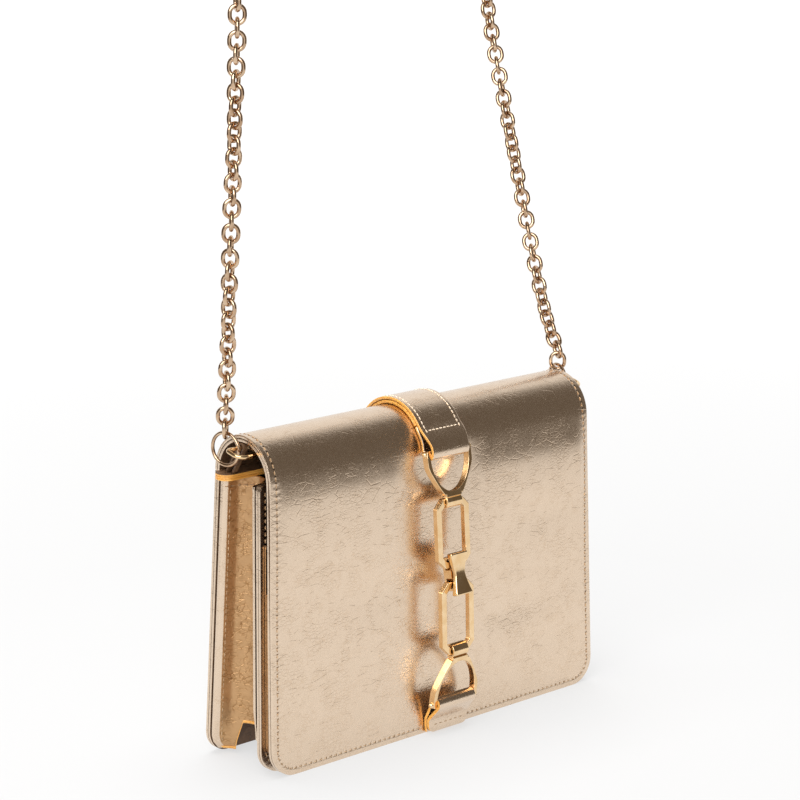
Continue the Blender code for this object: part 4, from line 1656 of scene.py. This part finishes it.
@dataclass
class Flap:
    """The flap over the crown and down the front, its lining, the strap and the lower tab."""

    finishes: Finishes
    stitching: Stitching
    middle: float = 1.3
    strap_half_width: float = 12.7
    strap_leather: float = 1.5
    strap_back: float = 14.0
    strap_row: float = 145.0
    taper_start: float = 10.0
    taper: float = 7.0
    fold_half_width: float = 11.5
    bar_radius: float = 1.5
    fold_clearance: float = 0.3
    upper_bar: Flat = (-24.6, 135.4)
    lower_bar: Flat = (-29.4, 15.6)
    tab_foot: float = 0.8
    tab_shoulder_z: float = 7.0
    tab_shoulder: float = 12.3
    tab_foot_half_width: float = 12.0
    tab_taper: float = 6.0
    tab_row: float = 3.4
    row_z: float = 145.7
    row_inset: float = 2.4
    cushion_top: float = 12.0
    cushion_fall: float = 65.0
    cushion_start: float = 16.0
    cushion_rise: float = 14.0
    cushion_side: float = 8.0
    left_cushion: Flat = (24.0, 1.8)
    right_cushion: Flat = (29.0, 2.4)
    hollows: Sequence[tuple[float, float, float, float, float]] = (
        (48.0, 48.0, 24.0, 9.0, 0.9),
        (70.0, 30.0, 20.0, 8.0, 0.4),
        (-34.0, 74.0, 26.0, 10.0, 0.45),
        (66.0, 92.0, 22.0, 10.0, 0.7),
    )

    def layer(self, depth: float) -> Ribbon:
        """A layer of the flap whose face is some way behind the flap's own.

        Args:
            depth: millimetres.

        Returns:
            The ribbon, from the hinge to the foot.
        """
        radius = SHAPE.crown_radius - depth
        line = [SHAPE.crown(180 * k / 36, radius) for k in range(37)]
        line[0] = (line[0][0], line[0][1] + SHAPE.gap / 2)
        line += [(SHAPE.flap_y(z) + depth, z) for z in (SHAPE.crown_z * (1 - k / 18) for k in range(1, 19))]
        profile = Profile(line)
        return Ribbon(
            profile,
            lambda run: SHAPE.half_width(profile.at(run)[0].y),
            end_corner=SHAPE.flap_corner,
            start_edge=False,
            step=2.6,
            wave=lambda x, run: self.cushion(x, profile.at(run)[0]),
        )

    def cushion(self, x: float, place: Vector) -> float:
        """The soft unevenness of the front: fuller under the crown, with shallow hollows lower down.

        Args:
            x: millimetres from the bag's middle.
            place: the face's (y, z).

        Returns:
            Millimetres out of the face.
        """
        down = SHAPE.crown_z + self.cushion_top - place.y
        if place.x > 0 or down < 0:
            return 0.0
        beside = min(max((abs(x - self.middle) - self.cushion_start) / self.cushion_rise, 0.0), 1.0)
        side = min((SHAPE.half_width(place.y) - abs(x)) / self.cushion_side, 1.0)
        rise, height = self.right_cushion if x > self.middle else self.left_cushion
        share = min(down / rise, max(1.0 - (down - rise) / self.cushion_fall, 0.0))
        lift = height * math.sin(math.pi / 2 * share) ** 2
        for at_x, at_z, wide, tall, depth in self.hollows:
            lift -= depth * math.exp(-(((x - at_x) / wide) ** 2) - ((place.y - at_z) / tall) ** 2)
        return lift * beside * side

    def build(self) -> None:
        """Makes the flap and what is sewn to it."""
        outer = self.layer(0.0)
        outer.build("flap_leather", SHAPE.leather, self.finishes.outside, "flap", Slot.LEATHER, ("flap_panel",), 0.62)
        inner = self.layer(SHAPE.leather + SHAPE.gap)
        inner.build("flap_inner", SHAPE.leather, self.finishes.inside, "flap", Slot.LINING, ("flap_lining",), 0.6)
        self.stitching.sew("flap_stitches", [outer.seam(SHAPE.seam_inset, 0.0)], self.finishes.thread, "flap")
        self.build_strap()
        self.build_tab()
        log.info("flap: %.0f mm along its face", outer.profile.length)

    def strap_width(self, y: float, z: float) -> float:
        """The strap's half width, which narrows into its fold on the front."""
        if y > 0:
            return self.strap_half_width
        share = ease((SHAPE.crown_z + self.taper_start - z) / self.taper)
        return self.strap_half_width + (self.fold_half_width - self.strap_half_width) * share

    def strap_line(self) -> Profile:
        """The strap's outer face: over the crown, out to the fold, round the bar and back up behind."""
        half = self.strap_leather / 2
        upper = SHAPE.crown_radius + 2 * SHAPE.gap + 1.5 * self.strap_leather
        under = SHAPE.crown_radius + SHAPE.gap + half
        fold = self.bar_radius + self.fold_clearance + half
        front = fold - self.upper_bar[0]
        rest = 180.0 - self.strap_row
        line = [SHAPE.crown(self.strap_back + (self.strap_row - self.strap_back) * k / 30, upper) for k in range(31)]
        for share in (k / 10 for k in range(1, 11)):
            line.append(SHAPE.crown(self.strap_row + rest * share, upper + (front - upper) * ease(share)))
        y, z = self.upper_bar
        for angle in (math.pi + math.pi * k / 16 for k in range(1, 16)):
            line.append((y + fold * math.cos(angle), z + fold * math.sin(angle)))
        line += [SHAPE.crown(180.0 - rest * k / 8, under) for k in range(9)]
        return Profile(line).shifted(half)

    def build_strap(self) -> None:
        """Makes the strap and the painted layer under it."""
        profile = self.strap_line()

        def half_width(run: float) -> float:
            """The strap's half width at a place along it."""
            place = profile.at(run)[0]
            return self.strap_width(place.x, place.y)

        strap = Ribbon(profile, half_width, middle=self.middle, step=1.6)
        finishes = self.finishes.strap
        strap.build("strap_leather", self.strap_leather, finishes, "flap", Slot.LEATHER, ("strap",), 0.45)
        radius = SHAPE.crown_radius + SHAPE.gap + self.strap_leather
        last = self.strap_row - math.degrees(SHAPE.gap * 1.5 / SHAPE.crown_radius)
        line = [SHAPE.crown(self.strap_back + (last - self.strap_back) * k / 24, radius) for k in range(25)]
        under = Ribbon(Profile(line), lambda run: self.strap_half_width, middle=self.middle, step=2.0)
        paint = (self.finishes.paint, self.finishes.paint)
        under.build("strap_under", self.strap_leather, paint, "flap", Slot.PAINT, ("strap_lining",), 0.4)
        row = self.run_at_height(profile, self.row_z)
        side = self.strap_half_width - self.row_inset
        line = [strap.point(-side, row * k / 40) for k in range(2, 41)]
        line += [strap.point(-side + 2 * side * k / 24, row) for k in range(1, 25)]
        line += [strap.point(side, row * (40 - k) / 40) for k in range(1, 39)]
        bold = Stitching(pitch=2.3, length=2.25, width=0.62)
        bold.sew("strap_stitches", [line], self.finishes.pale_thread, "flap")

    def run_at_height(self, profile: Profile, z: float) -> float:
        """Where the strap's face comes down to a height on the front."""
        for point, run in zip(profile.points, profile.runs):
            if point.x < 0 and point.y <= z:
                return run
        return profile.length

    def build_tab(self) -> None:
        """Makes the lower tab, a loop with the lower stirrup's bar in its fold."""
        half = self.strap_leather / 2
        fold = self.bar_radius + self.fold_clearance + half
        back = SHAPE.flap_y(self.tab_foot) - SHAPE.gap - half
        front = back - self.strap_leather - SHAPE.gap
        y, z = self.lower_bar
        line = [(back, self.tab_foot), (back, self.tab_shoulder_z)]
        for k in range(21):
            angle = math.radians(8.0 + 200.0 * k / 20)
            line.append((y + fold * math.cos(angle), z + fold * math.sin(angle)))
        line += [(front, self.tab_shoulder_z), (front, self.tab_foot + 2.0), (front, self.tab_foot)]
        profile = Profile(line).shifted(half)

        def half_width(run: float) -> float:
            """The tab's half width at a place along it."""
            height = profile.at(run)[0].y
            low = min(max(height / self.tab_shoulder_z, 0.0), 1.0)
            wide = self.tab_foot_half_width + (self.tab_shoulder - self.tab_foot_half_width) * low
            return wide + (self.fold_half_width - wide) * ease((height - self.tab_shoulder_z) / self.tab_taper)

        tab = Ribbon(profile, half_width, middle=self.middle, end_corner=3.0, step=1.4)
        finishes = self.finishes.strap
        tab.build("tab_leather", self.strap_leather, finishes, "flap", Slot.LEATHER, ("lower_tab",), 0.45)
        row = profile.length - self.tab_row
        side = self.tab_foot_half_width - self.row_inset
        line = [tab.point(-side + 2 * side * k / 24, row) for k in range(25)]
        self.stitching.sew("tab_stitches", [line], self.finishes.thread, "flap")


# Hardware strip


@dataclass
class Hardware:
    """The strip of pivoting metal pieces down the flap."""

    finishes: Finishes
    middle: float = 1.3
    upper_bar: Flat = (-24.6, 135.4)
    upper_link_top: Flat = (-27.2, 112.0)
    upper_link_foot: Flat = (-29.1, 82.0)
    lower_link_top: Flat = (-31.0, 73.0)
    lower_link_foot: Flat = (-31.8, 40.8)
    lower_bar: Flat = (-29.4, 15.6)
    bar_radius: float = 1.5
    plate: float = 3.6
    stirrup_half_width: float = 13.8
    rim: float = 1.9
    ball: float = 1.5
    ball_sink: float = 0.2
    throat: float = 3.4
    neck: float = 4.7
    curl_wall: float = 1.2
    link_bar: float = 1.5
    link_half_width: float = 10.15
    chamfer: float = 3.4
    cover_thickness: float = 2.4
    cover_rise: float = 1.3
    cover_end: float = 5.5
    cover_waist: float = 3.2
    cover_overhang: float = 5.4
    core_thickness: float = 1.3
    core_half_width: float = 4.0
    lip_gap: float = 0.4
    post: float = 4.0

    @property
    def corner(self) -> float:
        """The reach of a link bar's corners in the frame's solid."""
        return self.link_bar / math.cos(math.pi / 8)

    def build(self) -> None:
        """Makes every piece of the strip."""
        self.build_stirrup("upper_stirrup", self.upper_bar, self.upper_link_top, 0.35)
        self.build_link("upper_link", self.upper_link_top, self.upper_link_foot)
        self.build_connector()
        self.build_link("lower_link", self.lower_link_top, self.lower_link_foot)
        self.build_stirrup("lower_stirrup", self.lower_bar, self.lower_link_foot, 0.55)
        for node in ("snap_socket", "snap_disc"):
            frame["nodes"][node].material_slots[0].material = self.finishes.gold
        log.info("hardware: two stirrups, two long links and a connector")

    def metal(self, name: str, lofts: Sequence[Loft], body: str, node: str, edge: float, angle: float = 28.0) -> None:
        """Makes a metal piece with softened edges.

        Args:
            name: the piece's name.
            lofts: its tubes' sections, and whether each closes on itself.
            body: the body that carries it.
            node: the frame's node that it stands for.
            edge: the edges' rounding in millimetres.
            angle: the sharpest angle left as it is, in degrees.
        """
        piece = make_solid(name, lofts, [self.finishes.gold], body, (node,))
        round_edges(piece, edge, angle)
        piece.modifiers["rounded edge"].harden_normals = True

    def stirrup_pairs(self, length: float, neck_end: float) -> list[tuple[Flat, Flat]]:
        """Matching outer and inner points of a stirrup's right half, from the bar round to the neck."""
        r = self.bar_radius
        wide = self.stirrup_half_width
        inside = wide - self.rim
        depth = length - self.throat - r - self.curl_wall
        pairs = [((0.0, -r), (0.0, r)), ((wide - 1.0, -r), (inside - 1.0, r))]
        pairs += [((wide - 0.3, 0.3 - r), (inside - 0.3, r + 0.3)), ((wide, 1.0 - r), (inside, r + 1.0))]
        for turn in range(6, 76, 6):
            a = math.radians(turn)
            outer_v = min(r + (length - r) * math.sin(a), neck_end - 1.0)
            slope = (outer_v - r - 5.5) / (neck_end - r - 6.5)
            straight = wide + (self.neck - wide) * min(max(slope, 0.0), 1.0)
            outer_u = max(wide * math.cos(a) * 0.35 + straight * 0.65, self.neck)
            pairs.append(((outer_u, outer_v), (inside * math.cos(a), r + depth * math.sin(a))))
        a = math.radians(82)
        pairs.append(((self.neck, neck_end), (inside * math.cos(a), r + depth * math.sin(a))))
        pairs.append(((0.0, neck_end), (0.0, r + depth)))
        return pairs

    def build_stirrup(self, name: str, bar: Flat, hook: Flat, clearance: float) -> None:
        """Makes a D frame round its bar, with a neck that curls round the next link's end bar.

        Args:
            name: the frame's node and body.
            bar, hook: the bar and the end bar that the neck goes round, as (y, z).
            clearance: the curl's clearance.
        """
        curl_in = self.corner + clearance
        curl_out = curl_in + self.curl_wall
        front = self.bar_radius
        slant = Slant(bar, hook, self.middle, front - curl_out)
        neck_end = slant.length - curl_in - 0.15
        right = self.stirrup_pairs(slant.length, neck_end)
        left = [((-o[0], o[1]), (-i[0], i[1])) for o, i in reversed(right[1:-1])]
        rings = []
        for outer, inner in right + left:
            on_bar = outer[1] <= -self.bar_radius
            back = -self.bar_radius if on_bar else front - self.plate
            section = ((outer, back), (outer, front), (inner, front), (inner, back))
            rings.append([slant.point(p[0], p[1], n) for p, n in section])
        curl = []
        for angle in (math.radians(-115 + 300 * k / 30) for k in range(31)):
            ring = []
            for u, radius in ((-1, curl_out), (1, curl_out), (1, curl_in), (-1, curl_in)):
                v = slant.length + radius * math.sin(angle)
                ring.append(slant.point(u * self.neck, v, front - curl_out + radius * math.cos(angle)))
            curl.append(ring)
        self.metal(f"{name}_metal", [(rings, True), (curl, False)], name, name, 0.38, 32.0)
        for side, word in SIDES:
            self.bar_end(f"{name}_end_{word}", slant, side, name)

    def bar_end(self, name: str, slant: Slant, side: int, body: str) -> None:
        """Makes the ball on the end of a stirrup's bar.

        Args:
            name: the piece's name.
            slant: the stirrup's frame.
            side: -1 for the left end and 1 for the right.
            body: the body that carries it.
        """
        angles = [2 * math.pi * k / 16 for k in range(16)]
        rings = []
        for turn in (math.pi * i / 10 for i in range(1, 10)):
            radius = self.ball * math.sin(turn)
            u = side * (self.stirrup_half_width - self.ball_sink) + self.ball * math.cos(turn)
            section = [(radius * math.cos(a), radius * math.sin(a) - self.ball_sink) for a in angles]
            rings.append([slant.point(u, v, n) for v, n in section])
        make_solid(name, [(rings, False)], [self.finishes.gold], body)

    def build_link(self, name: str, top: Flat, foot: Flat) -> None:
        """Makes an eight-cornered frame of square bar.

        Args:
            name: the frame's node and body.
            top, foot: its pivots as (y, z).
        """
        slant = Slant(top, foot, self.middle)
        across = self.link_half_width - self.link_bar
        cut = self.chamfer
        length = slant.length
        right = [(across - cut, 0.0), (across, cut), (across, length - cut), (across - cut, length)]
        corners = [Vector(p) for p in right[1:] + [(-x, v) for x, v in reversed(right)] + right[:1]]
        rings = []
        for i, here in enumerate(corners):
            back = (here - corners[i - 1]).normalized()
            ahead = (corners[(i + 1) % 8] - here).normalized()
            along = (back + ahead).normalized()
            out = Vector((along.y, -along.x))
            stretch = 1.0 / max(out.dot(Vector((back.y, -back.x))), 0.5)
            ring = []
            for a, n in ((1, -1), (1, 1), (-1, 1), (-1, -1)):
                p = here + out * (self.link_bar * a * stretch)
                ring.append(slant.point(p.x, p.y, self.link_bar * n))
            rings.append(ring)
        self.metal(f"{name}_metal", [(rings, True)], name, name, 0.42)

    def build_connector(self) -> None:
        """Makes the bow-shaped cover, and behind it the core with two lips and a post."""
        slant = Slant(self.upper_link_foot, self.lower_link_top, self.middle)
        length = slant.length
        waist = length / 2
        near = self.corner + SHAPE.gap
        rings = []
        for share in (-1 + 2 * k / 24 for k in range(25)):
            reach = abs(share)
            v = waist + share * (waist + self.cover_overhang)
            u = self.cover_waist + (self.cover_end - self.cover_waist) * reach**1.3
            far = near + self.cover_thickness + self.cover_rise * reach**1.5
            rings.append([slant.point(x, v, n) for x, n in ((-u, near), (u, near), (u, far), (-u, far))])
        self.metal("cover_metal", [(rings, False)], "connector", "connector_cover", 1.0, 35.0)
        lip = near - self.lip_gap
        outer = near + self.core_thickness
        half = self.post / 2
        upper = [(-outer, -outer), (-outer, lip), (-near, lip), (-near, -near)]
        upper += [(waist - half, -near), (waist - half, self.corner)]
        outline = upper + [(length - v, n) for v, n in reversed(upper)]
        wide = self.core_half_width
        rings = [[slant.point(u, v, n) for v, n in outline] for u in (-wide, wide)]
        self.metal("core_metal", [(rings, False)], "connector", "connector_core", 0.22)


# Studio


@dataclass
class Studio:
    """The camera, the pale floor, the lamps and the room's light."""

    azimuth: float = -42.4
    elevation: float = 13.1
    distance: float = 1217.3
    aim: Point = (-5.6, 0.0, 156.0)
    lens: float = 117.94
    floor_glow: float = 0.58
    dim: float = 0.135
    backdrop: float = 1.0
    floor_reach: float = 12.0
    floor_seen: Flat = (0.41, 1.12)
    floor_mirrored: Flat = (0.6, 0.92)
    floor_end: Flat = (0.64, 1.2)
    behind: Flat = (0.4, 0.67)
    beside_camera: Flat = (-0.97, -0.75)
    overhead: Flat = (0.86, 0.98)
    lamps: Sequence[tuple[str, Point, float, float]] = field(
        default_factory=lambda: (
            ("key_lamp", (-1500.0, -900.0, 1300.0), 1700.0, 34.0),
            ("top_lamp", (0.0, 200.0, 1700.0), 1500.0, 44.0),
        )
    )

    def build(self) -> None:
        """Makes the camera, the floor and the light."""
        self.build_camera()
        self.build_floor()
        self.build_lamps()
        self.build_world()
        bpy.context.scene.view_settings.view_transform = "Standard"
        log.info("studio: camera at azimuth %.1f, elevation %.1f", self.azimuth, self.elevation)

    def build_camera(self) -> None:
        """Sets the camera at the photograph's angle."""
        a = math.radians(self.azimuth)
        e = math.radians(self.elevation)
        back = Vector((math.sin(a) * math.cos(e), -math.cos(a) * math.cos(e), math.sin(e)))
        data = bpy.data.cameras.new("camera")
        data.lens = self.lens
        data.sensor_width = 36.0
        data.clip_start = 0.05
        data.clip_end = 60.0
        camera = bpy.data.objects.new("camera", data)
        camera.location = spot(*self.aim) + back * (self.distance * MM)
        camera.rotation_euler = (-back).to_track_quat("-Z", "Y").to_euler()
        bpy.context.scene.collection.objects.link(camera)
        bpy.context.scene.camera = camera

    def build_floor(self) -> None:
        """Makes a wide pale floor that keeps the bag's shadow and shows the room in its mirror image."""
        mesh = bpy.data.meshes.new("floor")
        reach = self.floor_reach
        corners = [(-reach, -reach, 0.0), (reach, -reach, 0.0), (reach, reach, 0.0), (-reach, reach, 0.0)]
        mesh.from_pydata(corners, [], [(0, 1, 2, 3)])
        floor = bpy.data.objects.new("floor", mesh)
        bpy.context.scene.collection.objects.link(floor)
        material = bpy.data.materials.new("pale floor")
        material.use_nodes = True
        material.node_tree.nodes.clear()
        nodes = Nodes(material.node_tree)
        place = nodes.add("TexCoord").outputs["Object"]
        away = nodes.vector("LENGTH", place).outputs["Value"]
        seen = self.lit(nodes, *self.floor_seen, nodes.spread(away, 0.3, 1.5, self.floor_glow, 1.0, "LINEAR"))
        near = self.lit(nodes, *self.floor_mirrored, 0.75)
        far = nodes.add("Emission")
        aim = nodes.vector("NORMALIZE", place).outputs["Vector"]
        nodes.fill(far.inputs["Color"], self.surround(nodes, aim))
        mirrored = nodes.blended(nodes.spread(away, *self.floor_end), near, far.outputs[0])
        glossy = nodes.add("LightPath").outputs["Is Glossy Ray"]
        nodes.fill(nodes.add("OutputMaterial").inputs["Surface"], nodes.blended(glossy, seen, mirrored))
        mesh.materials.append(material)

    def lit(self, nodes: Nodes, shade: float, glow: float, share: object) -> Socket:
        """A white that keeps shadows and also shines a little.

        Args:
            nodes: the floor's nodes.
            shade: how pale the painted part is.
            glow: the shining part's strength.
            share: how much of it shines, as a number or an output.

        Returns:
            The shader output.
        """
        paint = nodes.add("BsdfDiffuse")
        nodes.fill(paint.inputs["Color"], (shade, shade, shade, 1.0))
        light = nodes.add("Emission")
        nodes.fill(light.inputs["Strength"], glow)
        return nodes.blended(share, paint.outputs[0], light.outputs[0])

    def build_lamps(self) -> None:
        """Hangs soft square lamps that face the bag."""
        target = spot(0.0, 0.0, 90.0)
        for name, place, size, power in self.lamps:
            data = bpy.data.lights.new(name, "AREA")
            data.shape = "SQUARE"
            data.size = size * MM
            data.energy = power
            lamp = bpy.data.objects.new(name, data)
            lamp.location = spot(*place)
            lamp.rotation_euler = (target - lamp.location).to_track_quat("-Z", "Y").to_euler()
            lamp.visible_glossy = name == "key_lamp"
            bpy.context.scene.collection.objects.link(lamp)

    def surround(self, nodes: Nodes, aim: Socket) -> Socket:
        """The room's brightness by direction: white behind the bag and beside the camera, dim at both sides.

        Args:
            nodes: the nodes to add to.
            aim: the direction, of length 1.

        Returns:
            The brightness.
        """
        a = math.radians(self.azimuth)
        across = nodes.vector("DOT_PRODUCT", aim, (-math.sin(a), math.cos(a), 0.0)).outputs["Value"]
        split = nodes.add("SeparateXYZ")
        nodes.fill(split.inputs["Vector"], aim)
        white = nodes.spread(across, *self.behind)
        white = nodes.math("MAXIMUM", white, nodes.spread(across, *self.beside_camera, 0.9, 0.0))
        white = nodes.math("MAXIMUM", white, nodes.spread(split.outputs["Z"], *self.overhead, 0.0, 0.6))
        dim = (self.dim, self.dim * 0.84, self.dim * 0.68, 1.0)
        return nodes.mixed(white, dim, (self.backdrop, self.backdrop, self.backdrop, 1.0))

    def build_world(self) -> None:
        """A white backdrop behind the bag and a dim room beside it, and white where the camera sees it."""
        world = bpy.data.worlds.new("room")
        bpy.context.scene.world = world
        world.use_nodes = True
        world.node_tree.nodes.clear()
        nodes = Nodes(world.node_tree)
        room = nodes.add("Background")
        nodes.fill(room.inputs["Color"], self.surround(nodes, nodes.add("TexCoord").outputs["Generated"]))
        white = nodes.add("Background")
        nodes.fill(white.inputs["Color"], (1.0, 1.0, 1.0, 1.0))
        seen = nodes.blended(nodes.add("LightPath").outputs["Is Camera Ray"], room.outputs[0], white.outputs[0])
        nodes.fill(nodes.add("OutputWorld").inputs["Surface"], seen)


def main() -> None:
    """Builds the studio and the bag."""
    logging.basicConfig(level=logging.INFO, format="%(name)s: %(message)s")
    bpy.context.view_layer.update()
    Studio().build()
    finishes = Finishes()
    stitching = Stitching()
    chain = Chain(finishes.link_gold)
    chain.build()
    LeatherBody(finishes, stitching).build()
    for side, word in SIDES:
        chain.round_ring(side, word)
        Gusset(side, word, finishes, stitching).build()
        RingTab(side, word, finishes, chain).build()
        log.info("%s end: gusset, tab, keeper and rings", word)
    Flap(finishes, stitching).build()
    Hardware(finishes).build()


if __name__ == "__main__":
    main()
